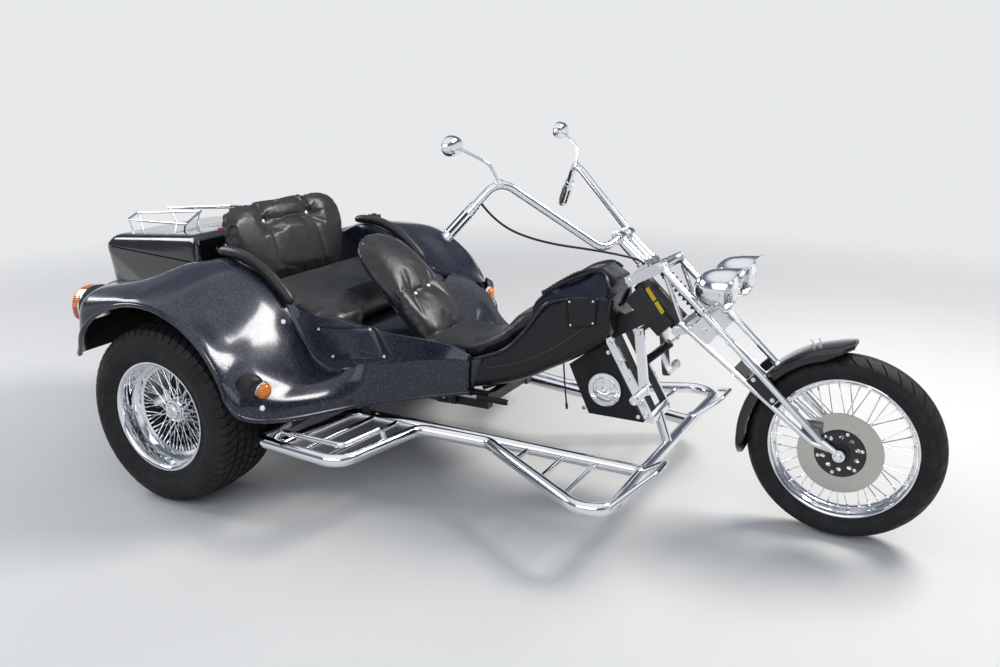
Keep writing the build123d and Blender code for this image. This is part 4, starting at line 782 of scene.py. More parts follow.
class OBJECT_OT_trike_rear_wheels(bpy.types.Operator):
    """Rear tyres with their treads, deep rims, wires, hubs and drums"""
    bl_idname = "object.trike_rear_wheels"
    bl_label = "Rear wheels"

    def execute(self, context):
        wheels = context.scene.trike_wheels
        walls = table(""".1175,.195,0 .1225,.196,0 .124,.2075,0 .1265,.211,0 .13,.214,0 .133,.2175,0 .1345,.2215,0
            .1335,.225,0 .1375,.233,0 .142,.245,0 .1446,.25,0 .1454,.2505,0 .146,.2535,0 .1462,.255,0 .1474,.265,0
            .1474,.276,0 .1468,.282,0 .1472,.2828,0 .1466,.2868,0 .1452,.2876,0 .1425,.296,0 .1375,.306,0
            .133,.3125,.004 .1285,.317,.006""")
        crown = lambda across_tyre: 0.338 - 0.0105 * (across_tyre / 0.118) ** 2.4
        tread = [(v, crown(v), 0.007) for v in (0.1235, 0.116, 0.104, 0.092, 0.0815)]
        for low, high, deep in ((0.071, 0.08, 0), (0.0345, 0.044, 0)):
            tread += [(high, crown(high) - 0.009, deep), (low, crown(low) - 0.009, deep)]
            tread += [(v, crown(v), 0.006) for v in ((0.0695, 0.0575, 0.0455) if low > 0.05
                else (0.033, 0.02, 0.0055))]
        tread += [(0.0045, crown(0) - 0.008, 0)]
        rows = mirrored(walls + tread)
        cuts = table("0,1 .13,1 .155,0 .55,0 .975,0")
        skew = lambda v: 0.55 * math.sin(v * 34.0)
        lip = table(""".1236,.197 .1236,.2068 .1262,.208 .1288,.2074 .1295,.2052 .1288,.202 .1262,.1986 .121,.1938
            .112,.1916 .084,.19 .07,.1892 .064,.1866 .06,.18 .056,.1742 .048,.1716 .046,.1664 .044,.1614
            .035,.1612 .033,.166 .02,.17 -.07,.186 -.118,.19 -.1262,.198 -.1295,.205 -.1262,.208 -.1236,.2068
            -.1236,.197 -.09,.1942 0,.176 .048,.177 .074,.194""")
        hub = table("""-.07,.0226 -.07,.042 -.064,.043 -.005,.035 .012,.0355 .015,.045 .0215,.045 .024,.037
            .038,.036 .04,.044 .047,.044 .05,.04 .054,.0395 .056,.033 .064,.029 .065,.0245 .069,.0215 .07,.015
            .075,.013 .0755,.0002 .052,.0002 .0515,.0226""")
        for side, sign in SIDES.items():
            centre = (REAR_X, sign * REAR_Y, REAR_Z)
            body = "rear_wheel_" + side
            tyre = Shape()
            tyre_net(tyre, centre, sign, rows, wheels.rear_blocks, cuts, skew)
            tyre.piece("rear_tread_tyre_" + side, "tyre_rubber", body, stands_for="rear_tyre_" + side,
                slot="tyre_rubber")
            rim = Shape()
            rim.lathe(centre, (0, sign, 0), lip, 112, 0, closed=True)
            rim.lathe(centre, (0, sign, 0), hub, 48, 0, closed=True)
            wire_set(rim, centre, sign, wheels.rear_wires, 0.04, (0.0435, 0.018), 0.1615, (0.0395, 0.0395), 26,
                0.0021)
            for number in range(6):
                angle = math.tau * number / 6
                rim.bolt(wheel_point(centre, 0.0345, angle, sign * 0.0535), (0, sign, 0), 0.0028, 0.003)
            rim.piece("rear_wire_rim_" + side, "chrome", body, stands_for="rear_rim_" + side, slot="chrome")
            drum = Shape()
            drum.lathe(centre, (0, sign, 0), table("""-.108,.0365 -.108,.118 -.104,.124 -.098,.125 -.096,.136
                -.09,.138 -.056,.136 -.052,.131 -.05,.052 -.096,.05 -.096,.0365"""), 64, 0, closed=True)
            for number in range(5):
                angle = math.tau * (number + 0.5) / 5
                drum.bolt(wheel_point(centre, 0.085, angle, -sign * 0.0498), (0, sign, 0), 0.008, 0.008)
            drum.piece("rear_drum_" + side, "frame_paint", "chassis", slot="frame_paint")
        return {"FINISHED"}


class OBJECT_OT_trike_front_wheel(bpy.types.Operator):
    """Front tyre with slanted cuts, polished rim, laced wires, hub and disc bolts"""
    bl_idname = "object.trike_front_wheel"
    bl_label = "Front wheel"

    def execute(self, context):
        wheels = context.scene.trike_wheels
        walls = table(""".036,.235,0 .0408,.236,0 .0416,.247,0 .0436,.25,0 .0462,.252,0 .0476,.255,0 .0474,.258,0
            .052,.266,0 .057,.274,0 .058,.2745,0 .0598,.279,0 .0606,.286,0 .06,.293,0 .0578,.299,.003
            .055,.304,.0045""")
        crown = lambda across_tyre: 0.326 - 0.0215 * (across_tyre / 0.0545) ** 2.1
        tread = [(v, crown(v), 0.0045) for v in (0.051, 0.046, 0.04, 0.033, 0.026, 0.02)]
        tread += [(0.0185, crown(0.0185), 0), (0.0125, crown(0.0125), 0), (0.0118, crown(0.0118) - 0.005, 0),
            (0.0088, crown(0.0088) - 0.005, 0), (0.0082, crown(0.0082), 0), (0.0, crown(0.0), 0)]
        rows = mirrored(walls + tread)
        cuts = table("0,1 .1,1 .125,0 .55,0 .975,0")
        tyre = Shape()
        tyre_net(tyre, FRONT_AXLE, 1, rows, wheels.front_blocks, cuts, lambda v: -0.95 * min(abs(v), 0.055) / 0.055)
        tyre.piece("front_tread_tyre", "tyre_rubber", "front_wheel", stands_for="front_tyre", slot="tyre_rubber")
        rim = Shape()
        half = table(""".0412,.2365 .0412,.2462 .0432,.2474 .0458,.2472 .047,.2455 .047,.2415 .0455,.2392 .04,.234
            .033,.2312 .024,.23 .019,.2262 .013,.2222 .006,.2212""")
        back = [(-v, r) for v, r in reversed(half)]
        rim.lathe(FRONT_AXLE, (0, 1, 0), half + back + table("-.036,.2352 -.014,.2262 .014,.2262 .036,.2352"),
            128, 0, closed=True)
        hub = table("""-.048,.0102 -.048,.036 -.044,.043 -.033,.0445 -.03,.04 -.024,.028 0,.025 .024,.028 .03,.04
            .033,.0445 .044,.043 .048,.036 .048,.0102""")
        rim.lathe(FRONT_AXLE, (0, 1, 0), hub, 48, 0, closed=True)
        wire_set(rim, FRONT_AXLE, 1, wheels.front_wires, 0.0415, (0.0385, -0.0385), 0.2235, (0.004, -0.004), 42,
            0.0019)
        rim.rod(FRONT_AXLE + Vector((-0.19, 0.0, 0.118)), FRONT_AXLE + Vector((-0.158, 0.002, 0.098)), 0.0045, 10)
        rim.piece("front_laced_rim", "chrome", "front_wheel", stands_for="front_rim", slot="chrome")
        dress("brake_disc", "turned_steel")
        bolts = Shape()
        for number in range(6):
            angle = math.tau * (number + 0.25) / 6
            bolts.bolt(wheel_point(FRONT_AXLE, 0.0725, angle, -0.0805), (0, -1, 0), 0.0045, 0.004)
        bolts.lathe(FRONT_AXLE, (0, -1, 0), table(""".0806,.034 .0835,.034 .086,.0315 .0868,.026 .0868,.0215
            .0806,.021"""), 48, 1, closed=True)
        bolts.piece("disc_bolts", "chrome black_plastic", "front_wheel", slot="chrome")
        return {"FINISHED"}


# Body
# Rows, in millimetres as in the drawing: station from the rear axle, then across and up at the wall's top,
# crease, crown, shoulder, outer edge and lip
BODY_SECTIONS = table("""
    -440,438,694,458,702,560,735,690,745,800,670,868,505
    -300,446,714,466,724,560,752,800,780,925,742,940,645
    -100,458,830,478,836,600,842,800,805,925,775,940,735
    -20,462,848,482,852,600,845,800,812,925,775,940,735
    80,464,824,484,828,600,838,800,806,925,768,940,735
    170,466,786,486,784,600,782,800,738,920,712,940,680
    250,466,728,486,712,600,708,800,662,915,645,940,600
    330,464,672,486,585,600,598,800,592,915,562,940,510
    400,462,664,486,492,600,505,800,530,915,490,940,428
    470,455,660,484,465,580,460,690,455,800,438,845,382
    600,425,632,462,500,480,452,492,418,500,385,502,352
    860,208,532,232,498,240,460,245,425,248,390,250,361
    930,188,496,197,480,200,450,203,425,205,395,206,366
""")
ARCH = (-0.025, 0.355, 0.405)


def eased(rows, at):
    """A value read smoothly between rows of (station, value), never past its neighbours."""
    if at <= rows[0][0]:
        return rows[0][1]
    if at >= rows[-1][0]:
        return rows[-1][1]
    index = max(i for i in range(len(rows) - 1) if rows[i][0] <= at)
    slopes = []
    for k in (index, index + 1):
        if 0 < k < len(rows) - 1:
            before = (rows[k][1] - rows[k - 1][1]) / (rows[k][0] - rows[k - 1][0])
            after = (rows[k + 1][1] - rows[k][1]) / (rows[k + 1][0] - rows[k][0])
            slopes.append(0.0 if before * after <= 0 else 2 * before * after / (before + after))
        else:
            slopes.append((rows[index + 1][1] - rows[index][1]) / (rows[index + 1][0] - rows[index][0]))
    width = rows[index + 1][0] - rows[index][0]
    t = (at - rows[index][0]) / width
    return ((1 + 2 * t) * (1 - t) ** 2 * rows[index][1] + t * (1 - t) ** 2 * width * slopes[0] + t * t
        * (3 - 2 * t) * rows[index + 1][1] + t * t * (t - 1) * width * slopes[1])


BODY_CURVES = [[(row[0] / 1000, row[column] / 1000) for row in BODY_SECTIONS] for column in range(1, 13)]


def body_points(x):
    """The six corners of the body's section at a station ahead of the rear axle, the arch cut in."""
    values = [eased(curve, x) for curve in BODY_CURVES]
    corners = [(values[2 * k], values[2 * k + 1]) for k in range(6)]
    behind_axle, height, radius = ARCH
    reach = radius ** 2 - (x - behind_axle) ** 2
    if reach > 0 and corners[5][0] > 0.88:
        arch = height + math.sqrt(reach)
        lip = max(corners[5][1], arch)
        corners[5] = (corners[5][0], lip)
        corners[4] = (corners[4][0], max(corners[4][1], lip + 0.02))
        corners[3] = (corners[3][0], max(corners[3][1], corners[4][1] - 0.004))
    return corners


def body_stations():
    """Stations along the body, close together where the arch is steep."""
    behind_axle, _, radius = ARCH
    stations = [-0.44, -0.436, -0.43, -0.422]
    for k in range(61):
        angle = math.radians(176 - k * 172 / 60)
        x = behind_axle + radius * math.cos(angle)
        if x > -0.415:
            stations.append(x)
    stations += [0.39 + 0.52 * k / 42 for k in range(43)]
    return sorted(stations)


def body_row(x, sign):
    """Points across the skin at a station, from the wall's top out to the lip and in under it."""
    corners = body_points(x)
    wall, crease, crown = corners[0], corners[1], corners[2]
    eased_in = [wall, tuple(w + (c - w) * 0.35 for w, c in zip(wall, crease)),
        tuple(w + (c - w) * 0.86 for w, c in zip(wall, crease)),
        tuple(c + (r - c) * 0.12 for c, r in zip(crease, crown))]
    line = smooth_line(eased_in + corners[2:], 6)
    lip_y, lip_z = corners[5]
    turned_in = [(lip_y - 0.004, lip_z - 0.004), (lip_y - 0.012, lip_z - 0.002), (lip_y - 0.03, lip_z + 0.004)]
    return [axle(x, sign * y, z) for y, z in line + turned_in]


def wall_point(x, z, sign, out=0.0):
    """Point on the body's upright side wall beside the seats."""
    wall, crease = body_points(x)[:2]
    share = clamp((wall[1] - z) / (wall[1] - crease[1]))
    return axle(x, sign * (wall[0] + (crease[0] - wall[0]) * share + out), z)


HATCH = table(".386,.622 .622,.638 .684,.522 .464,.511")


def shrunk(ring, steps, place):
    """Rows of a flat ring drawn in towards its middle: (share, depth) each, put in place by a function."""
    middle = sum(ring, Vector((0, 0))) / len(ring)
    return [[place(middle + (point - middle) * share, depth) for point in ring] for share, depth in steps]


def rounded_loop(corners, radii, spans):
    """A closed loop round flat corners, each rounded, its edges cut into spans."""
    count = len(corners)
    cuts = []
    for k, here in enumerate(corners):
        before, after = corners[k - 1] - here, corners[(k + 1) % count] - here
        cuts.append((here + before.normalized() * radii[k], here, here + after.normalized() * radii[k]))
    loop = []
    for k, (start, here, end) in enumerate(cuts):
        for step in range(6):
            t = step / 5
            loop.append(start * (1 - t) ** 2 + here * (2 * t * (1 - t)) + end * t * t)
        following = cuts[(k + 1) % count][0]
        loop += [end.lerp(following, step / spans[k]) for step in range(1, spans[k])]
    return loop


class OBJECT_OT_trike_body(bpy.types.Operator):
    """Moulded body with its arches, side hatches, lip beads and seat tub"""
    bl_idname = "object.trike_body"
    bl_label = "Body"

    def execute(self, context):
        skin = Shape()
        stations = body_stations()
        for sign in SIDES.values():
            order = stations[::-1] if sign > 0 else stations
            skin.grid([body_row(x, sign) for x in order])
            face = smooth_line(body_points(BODY_REAR), 6)
            floor = [(y, 0.506 + 0.02 * (0.868 - y)) for y, z in face]
            rows = [[axle(BODY_REAR, sign * y, z) for y, z in face]]
            for back, share in table(".0045,.015 .0075,.06 .009,.16 .0095,.6 .0095,1"):
                rows.append([axle(BODY_REAR - back, sign * y, z + (low - z) * share) for (y, z),
                    (_, low) in zip(face, floor)])
            skin.grid(rows if sign > 0 else rows[::-1])
        shell = skin.piece("body_skin", "body_paint underseal", "chassis", angle=55, stands_for="body_shell",
            slot="body_paint", turned=False)
        thickness = shell.modifiers.new("moulding thickness", "SOLIDIFY")
        thickness.thickness = 0.0045
        thickness.offset = -1
        thickness.material_offset = 1

        beads = Shape()
        for sign in SIDES.values():
            lip = [body_points(x)[5] for x in stations]
            route = [axle(x, sign * (y - 0.004), z) for x, (y, z) in zip(stations, lip)]
            beads.tube([axle(BODY_REAR, sign * 0.862, 0.5)] + route, 0.0085, 12)
            rear = smooth_line(body_points(BODY_REAR), 6)
            beads.tube([axle(-0.447, sign * y, z - 0.002) for y, z in rear[14:]], 0.004, 8)
            ridge = [(x, *body_points(x)[1]) for x in (0.31, 0.34, 0.37, 0.4, 0.43, 0.46)]
            beads.tube([axle(x, sign * (y + 0.002), z + 0.001) for x, y, z in smooth_line(ridge, 4)], 0.0025, 6)
        beads.piece("body_beads", "body_paint", "chassis", slot="body_paint")

        tub = Shape()
        rows = []
        for k in range(23):
            x = -0.2 + 0.655 * k / 22
            wall, crease = body_points(x)[:2]
            profile = [(wall[0], wall[1]), (wall[0] - 0.006, wall[1] - 0.004), (0.452, wall[1] - 0.03),
                (0.448, 0.6), (0.44, 0.572), (0.42, 0.567), (0.2, 0.5665), (0.0, 0.5665)]
            rows.append([axle(x, y, z) for y, z in profile] + [axle(x, -y, z) for y, z in reversed(profile[:-1])])
        tub.grid(rows)
        dish = []
        for k in range(25):
            x = 0.452 + 0.43 * k / 24
            wall = body_points(x)[0]
            middle = eased(table(".452,.567 .5,.552 .62,.503 .72,.474 .8,.474 .882,.482"), x)
            row = []
            for step in range(25):
                share = step / 12 - 1
                rise = clamp((abs(share) - 0.5) / 0.48)
                rise = rise * rise * (3 - 2 * rise)
                row.append(axle(x, share * wall[0], middle + (wall[1] - middle) * rise))
            dish.append(row)
        tub.grid(dish)
        plate = []
        for v in (-0.135, -0.06, 0.0, 0.06, 0.12, 0.15, 0.152):
            x = -0.01 - v * math.sin(SEAT_LEAN) - 0.087 * math.cos(SEAT_LEAN) - (0.006 if v > 0.151 else 0)
            up = 0.69 + v * math.cos(SEAT_LEAN) - 0.087 * math.sin(SEAT_LEAN)
            half = 0.462 if v < 0.12 else 0.455
            plate.append([axle(x, -half + 2 * half * k / 10, up) for k in range(11)])
        tub.grid(plate)
        tub.piece("seat_tub", "body_paint", "chassis", angle=50, slot="body_paint")

        trim = Shape()
        for sign in SIDES.values():
            ring = rounded_loop([Vector(corner) for corner in HATCH], [0.022] * 4, [6] * 4)
            rows = shrunk(ring, table("""1.045,-.002 1.04,.0045 1.015,.006 .985,.005 .972,.0008 .968,.003 .95,.0045
                .8,.0052 .5,.0055 .2,.0056"""), lambda flat, out: wall_point(*flat, sign, out))
            trim.grid(rows[:5], 1, round_columns=True)
            trim.grid(rows[4:], round_columns=True)
            trim.add(rows[-1], [list(range(len(ring)))], 0)
            middle = sum(ring, Vector((0, 0))) / len(ring)
            for corner in HATCH:
                spot = middle + (Vector(corner) - middle) * 0.86
                trim.lathe(wall_point(spot.x, spot.y, sign, 0.004), (0.25, sign, 0.1), table("""0,.0062 .0025,.006
                    .0036,.0045 .003,.001"""), 14, 2)
            for x, y, z in ((0.455, 0.856, 0.437), (0.3, 0.54, 0.652)):
                trim.lathe(axle(x - 0.004, sign * y, z - 0.006), (0.6, sign * 0.5, 0.7), table("""0,.011 .004,.011
                    .0065,.008 .0068,.001"""), 18, 2)
        cap = axle(-0.21, 0.79, 0.795)
        trim.lathe(cap, (-0.05, 0.1, 1), table("""-.006,.038 .004,.037 .006,.031 .02,.031 .022,.034 .036,.034
            .041,.031 .042,.012 .046,.01 .047,.001"""), 36, 1)
        trim.piece("body_trim", "body_paint black_plastic chrome", "chassis", angle=35, slot="body_paint")
        return {"FINISHED"}


# Boot
def boot_ring(inset, height, shift=0.0):
    """The boot's plan at a height, inset from its outline."""
    front, front_y, rear, rear_y = -0.215 - inset, 0.44 - inset, -0.88 + inset, 0.325 - inset
    curve = []
    for k in range(1, 8):
        share = k / 8
        curve.append(Vector((rear - (0.05 - inset * 0.3) * (1 - (2 * share - 1) ** 2), -rear_y + 2 * rear_y * share)))
    corners = [Vector((front, front_y)), Vector((front, -front_y)), Vector((rear, -rear_y))] + curve \
        + [Vector((rear, rear_y))]
    radii = [0.03, 0.03, 0.035] + [0.004] * 7 + [0.035]
    spans = [14, 40, 2] + [2] * 7 + [40]
    return [Vector((REAR_X + point.x + shift, point.y, height))
        for point in rounded_loop(corners, [max(r - 0.2 * inset, 0.004) for r in radii], spans)]


def folded(point):
    """Presses the boot's side in below its slanting fold."""
    x = point.x - REAR_X
    below = (0.775 - point.z) - (x + 0.845) * 0.46
    sunk = min(max(below, 0.0) * 0.16, 0.016)
    if x < -0.865 or x > -0.6 or abs(point.y) < 0.2:
        sunk *= max(0.0, 1 - max(-0.865 - x, x + 0.6) / 0.02) if abs(point.y) > 0.2 else 0
    return Vector((point.x, point.y - math.copysign(sunk, point.y), point.z))


class OBJECT_OT_trike_boot(bpy.types.Operator):
    """Boot tub with its folded sides, the hinged lid, its knuckles and the rails"""
    bl_idname = "object.trike_boot"
    bl_label = "Boot"

    def execute(self, context):
        tub = Shape()
        outside = [[folded(point) for point in boot_ring(0.012 * (0.8 - z) / 0.24, z)]
            for z in [0.56 + 0.2365 * k / 22 for k in range(23)]]
        inside = [boot_ring(0.0035 + 0.012 * (0.8 - z) / 0.24 + (0.017 if z < 0.799 else 0), z)
            for z in (0.7995, 0.78, 0.7, 0.62, 0.5655)]
        edge = [boot_ring(0.0012, 0.7995)]
        tub.loft(outside + edge + inside, 0, 1)
        tub.piece("boot_tub_skin", "boot_paint boot_lining", "chassis", angle=40, stands_for="boot_tub",
            slot="body_paint")
        brackets = Shape()
        hinge = axle(-0.199, 0, 0.85)
        for sign in SIDES.values():
            for low in (0.228, 0.284):
                side = table("""-.219,.74 -.216,.79 -.209,.798 -.209,.855 -.205,.859 -.193,.859 -.189,.855
                    -.189,.835 -.207,.74""")
                brackets.slab([(REAR_X + x, z) for x, z in side], sign * low, sign * (low + 0.008))
            brackets.rod((hinge.x, sign * 0.2275, hinge.z), (hinge.x, sign * 0.293, hinge.z), 0.006, 18, 1)
            for y in (0.2265, 0.2925):
                brackets.lathe((hinge.x, sign * y, hinge.z), (0, sign, 0), table("0,.0085 .0022,.0085 .003,.006"),
                    18, 1)
        brackets.piece("hinge_brackets", "frame_paint chrome", "chassis", angle=35, bevel=0.0008,
            slot="frame_paint")
        catch = Shape()
        catch.block(axle(-0.905, 0, 0.772), (0.02, 0.06, 0.034))
        catch.lathe(axle(-0.912, 0, 0.772), (-1, 0, 0), table("0,.012 .006,.012 .008,.01 .0078,.003"), 24, 1)
        catch.piece("boot_catch", "black_plastic chrome", "chassis", bevel=0.002)

        lid = Shape()
        rings = []
        for inset, share in table("""0,0 .0004,.05 .003,.18 .008,.36 .014,.55 .021,.72 .03,.85 .043,.94 .062,.985
                .1,1 .17,1"""):
            ring = []
            for point in boot_ring(inset, LID_BASE):
                x = point.x - REAR_X
                top = 0.85 + (x + 0.86) * 0.055 / 0.585
                front_drop = 0.012 * clamp((x + 0.275) / 0.06) ** 2
                rear_drop = 0.016 * clamp((-0.86 - x) / 0.06) ** 2
                ring.append(Vector((*point.xy, LID_BASE + share * (top - front_drop - rear_drop - LID_BASE))))
            rings.append(ring)
        under = [[Vector((point.x, point.y, LID_BASE)) for point in boot_ring(0.005, LID_BASE)],
            [Vector((point.x, point.y, 0.812)) for point in boot_ring(0.007, LID_BASE)]]
        ceiling = []
        for inset, share in table(".012,.5 .026,.78 .06,.9 .16,.9"):
            ceiling.append([Vector((point.x, point.y, LID_BASE + share
                * (0.045 + (point.x - REAR_X + 0.86) * 0.094))) for point in boot_ring(inset, LID_BASE)])
        lid.loft([ring[::-1] for ring in ceiling[::-1] + under[::-1] + rings])
        for sign in SIDES.values():
            start, end = sign * 0.238, sign * 0.282
            lid.rod((hinge.x, start, hinge.z), (hinge.x, end, hinge.z), 0.0105, 24, 1)
            lid.slab([(REAR_X - 0.236, 0.842), (REAR_X - 0.236, 0.859), (hinge.x, 0.8595), (hinge.x, 0.8415)],
                min(start, end), max(start, end), 1)
        lid.piece("boot_lid_skin", "boot_paint frame_paint", "boot_lid", angle=40, stands_for="boot_lid",
            slot="body_paint")
        dress("luggage_rails", "chrome")
        return {"FINISHED"}


# Seats
def pad(shape, origin, right, up, outline, back, front, edge, crown=0.0):
    """Adds a closed pad: a loop in a plane, round over its edges, its face crowned."""
    origin, right, up = Vector(origin), Vector(right).normalized(), Vector(up).normalized()
    out = right.cross(up)
    count = len(outline)
    middle = sum(outline, Vector((0, 0))) / count
    area = sum(outline[k - 1].cross(outline[k]) for k in range(count))
    turn = 1 if area > 0 else -1
    inward = []
    for k in range(count):
        along = outline[(k + 1) % count] - outline[k - 1]
        inward.append(Vector((-along.y, along.x)).normalized() * turn)
    rows = []
    for side, level in ((-1, back), (1, front)):
        half = []
        for step in range(6):
            angle = math.radians(90 * step / 5)
            half.append([(outline[k] + inward[k] * edge * (1 - math.cos(angle)), (level - side * edge) + side
                * edge * math.sin(angle)) for k in range(count)])
        for share in (0.85, 0.65, 0.45, 0.25, 0.08):
            bulge = crown * (1 - share * share) if side > 0 else 0
            half.append([(middle + (outline[k] + inward[k] * edge - middle) * share, level + side * bulge)
                for k in range(count)])
        rows += half[::-1] if side < 0 else half
    net = [[origin + right * flat.x + up * flat.y + out * level for flat, level in row] for row in rows]
    shape.loft(net)


def stuffed(shape, name, node_name, voxel, cap, buttons=(), creases=()):
    """Turns a closed form into an upholstered pad: remeshed, buttoned, filled by cloth and hung on the chassis in
    place of its CAD node.
    """
    scene = bpy.context.scene
    seats = scene.trike_seats
    made = shape.thing(name, "black_leather")
    remesh = made.modifiers.new("remesh", "REMESH")
    remesh.mode = "VOXEL"
    remesh.voxel_size = voxel
    evened = made.modifiers.new("even", "SMOOTH")
    evened.iterations = 6
    baked(made)
    mesh = made.data
    held = {}
    for vertex in mesh.vertices:
        for place, inward, width in buttons:
            away = vertex.co - Vector(place)
            depth = away.dot(inward)
            flat = (away - inward * depth).length
            if abs(depth) < 0.07 and vertex.normal.dot(inward) < 0.1:
                pull = math.exp(-(flat / width) ** 2)
                deep = math.exp(-(flat / (width * 0.3)) ** 2)
                vertex.co += inward * seats.dent * (0.62 * pull + 0.38 * deep)
                if flat < width * 0.45:
                    held[vertex.index] = max(held.get(vertex.index, 0), 1 - flat / (width * 0.45))
        for start, end, inward, width, depth in creases:
            start, end = Vector(start), Vector(end)
            run = end - start
            share = clamp((vertex.co - start).dot(run) / run.length_squared)
            away = vertex.co - (start + run * share)
            below = away.dot(inward)
            flat = (away - inward * below).length
            if abs(below) < 0.07 and vertex.normal.dot(inward) < 0.1:
                fade = math.sin(math.pi * clamp(0.15 + 0.7 * share))
                vertex.co += inward * depth * fade * math.exp(-(flat / width) ** 2)
    resting = [vertex.co.copy() for vertex in mesh.vertices]
    pins = made.vertex_groups.new(name="held")
    for index, weight in held.items():
        pins.add([index], min(1.0, weight * 2), "REPLACE")
    low = min(place.z for place in resting)
    if not held:
        for index, place in enumerate(resting):
            if place.z < low + 0.02:
                pins.add([index], 1.0, "REPLACE")
    cloth = made.modifiers.new("stuffing", "CLOTH")
    for key, value in {"quality": 4, "mass": 0.35, "use_pressure": True, "tension_stiffness": 18,
            "uniform_pressure_force": seats.pressure, "compression_stiffness": 14, "shear_stiffness": 8,
            "bending_stiffness": 1.2, "vertex_group_mass": "held"}.items():
        setattr(cloth.settings, key, value)
    cloth.settings.effector_weights.gravity = 0
    cloth.point_cache.frame_start = 1
    cloth.point_cache.frame_end = 20
    for number in range(1, 21):
        scene.frame_set(number)
    baked(made)
    scene.frame_set(1)
    mesh = made.data
    for vertex, place in zip(mesh.vertices, resting):
        move = vertex.co - place
        behind = max(vertex.normal.dot(buttons[0][1]), 0) if buttons else 0
        most = cap * (1 - 0.85 * behind)
        if move.length > most:
            vertex.co = place + move.normalized() * most
    mesh.shade_smooth()
    rounded = made.modifiers.new("rounding", "SUBSURF")
    rounded.levels = rounded.render_levels = 1
    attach(made, "chassis")
    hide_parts(node_name)


def baked(made):
    """Applies an object's modifiers to its mesh."""
    seen = bpy.context.evaluated_depsgraph_get()
    seen.update()
    mesh = bpy.data.meshes.new_from_object(made.evaluated_get(seen))
    made.modifiers.clear()
    made.data = mesh


def button_row(name, spots, inward):
    """Chrome buttons at the bottoms of the dents."""
    heads = Shape()
    for place in spots:
        heads.lathe(Vector(place) + inward * 0.004, -inward, table("""0,.0095 .002,.0098 .004,.0088 .0058,.006
            .0066,.0008"""), 20)
    heads.piece(name, "chrome", "chassis", slot="chrome")


class OBJECT_OT_trike_passenger_seat(bpy.types.Operator):
    """Wide rear cushion, buttoned backrest and the padded rolls beside them"""
    bl_idname = "object.trike_passenger_seat"
    bl_label = "Passenger seat"

    def execute(self, context):
        up = Vector((-math.sin(SEAT_LEAN), 0, math.cos(SEAT_LEAN)))
        out = Vector((math.cos(SEAT_LEAN), 0, math.sin(SEAT_LEAN)))
        origin = axle(-0.01, 0, 0.69)
        half = table("""0,-.004 .2,-.002 .275,.008 .335,.062 .38,.13 .402,.2 .402,.262 .388,.31 .348,.35 .28,.372
            .16,.384 0,.388""")
        outline = [Vector(point) for point in smooth_line([(y * 0.985, v * 0.985) for y, v in doubled(half)], 6,
            closed=True)]
        back = Shape()
        pad(back, origin, (0, 1, 0), up, outline, -0.082, -0.02, 0.03, 0.016)
        for index, point in enumerate(back.points):
            level, rise = (point - origin).dot(out), (point - origin).dot(up)
            thin = 0.82 * clamp((rise - 0.02) / 0.17)
            if level < -0.034:
                back.points[index] = point - out * (level + 0.034) * thin
        spots = [origin + Vector((0, y, 0)) + up * v - out * 0.012 for y, v in table("""-.142,.27 .142,.27 -.15,.07
            .15,.07""")]
        creases = [(spots[1], spots[3], -out, 0.01, 0.006), (spots[0], spots[2], -out, 0.01, 0.005),
            (spots[2], origin + up * 0.02 - out * 0.012, -out, 0.014, 0.006),
            (spots[0], spots[1], -out, 0.016, 0.004)]
        stuffed(back, "passenger_back_pad", "passenger_backrest", 0.009, 0.022,
            [(spot, -out, 0.055) for spot in spots[:2]], creases)
        dent = context.scene.trike_seats.dent
        button_row("passenger_buttons", [spot - out * (dent - 0.006) for spot in spots[:2]], -out)

        half = table("""-.035,0 -.035,.4 -.015,.425 .2,.428 .4,.425 .448,.395 .456,.31 .448,.245 .418,.208 .392,.15
            .385,0""")
        whole = half + [(x, -y) for x, y in reversed(half[1:-1])]
        outline = [Vector(point) for point in smooth_line(whole, 5, closed=True)]
        cushion = Shape()
        pad(cushion, axle(0, 0, 0.57), (1, 0, 0), (0, 1, 0), outline, 0.0, 0.088, 0.036, 0.006)
        raised = table("-.035,.064 .1,.05 .22,.034 .34,.016 .44,.002 .47,0")
        for index, point in enumerate(cushion.points):
            share = clamp((point.z - 0.6) / 0.04)
            cushion.points[index] = point + Vector((0, 0, eased(raised, point.x - REAR_X) * share))
        creases = [(axle(0.03, 0, 0.71), axle(0.36, 0, 0.67), Vector((0, 0, -1)), 0.022, 0.006)]
        stuffed(cushion, "passenger_seat_pad", "passenger_cushion", 0.0105, 0.024, (), creases)

        for side, sign in SIDES.items():
            roll = Shape()
            route = table("""-.082,.452,.868 -.03,.456,.872 .045,.463,.865 .11,.467,.842 .17,.469,.808 .22,.47,.768
                .262,.47,.728 .285,.47,.7""")
            line = smooth_line(route, 8)
            count = len(line)
            rows = []
            for index, (x, y, z) in enumerate(line):
                at = index / (count - 1)
                swell = math.sqrt(max(1 - abs(2 * at - 1) ** 7, 0.0))
                here = axle(x, sign * y, z)
                before = Vector(line[max(index - 1, 0)])
                after = Vector(line[min(index + 1, count - 1)])
                along = Vector((after.x - before.x, sign * (after.y - before.y), after.z - before.z)).normalized()
                first = along.cross(Vector((0, 1, 0))).normalized()
                second = along.cross(first)
                rows.append(circle(here, first, second, 0.0215 * max(swell, 0.06), 20))
            roll.loft(rows)
            made = roll.piece("seat_roll_" + side, "black_leather", "chassis", angle=60, levels=1,
                stands_for="side_bolsters", slot="black_leather")
        tag = Shape()
        tag.block(axle(-0.085, -0.428, 0.952), (0.034, 0.005, 0.01), 0, (1, 0, 0.2))
        tag.piece("seat_tag", "red_webbing", "chassis")
        return {"FINISHED"}


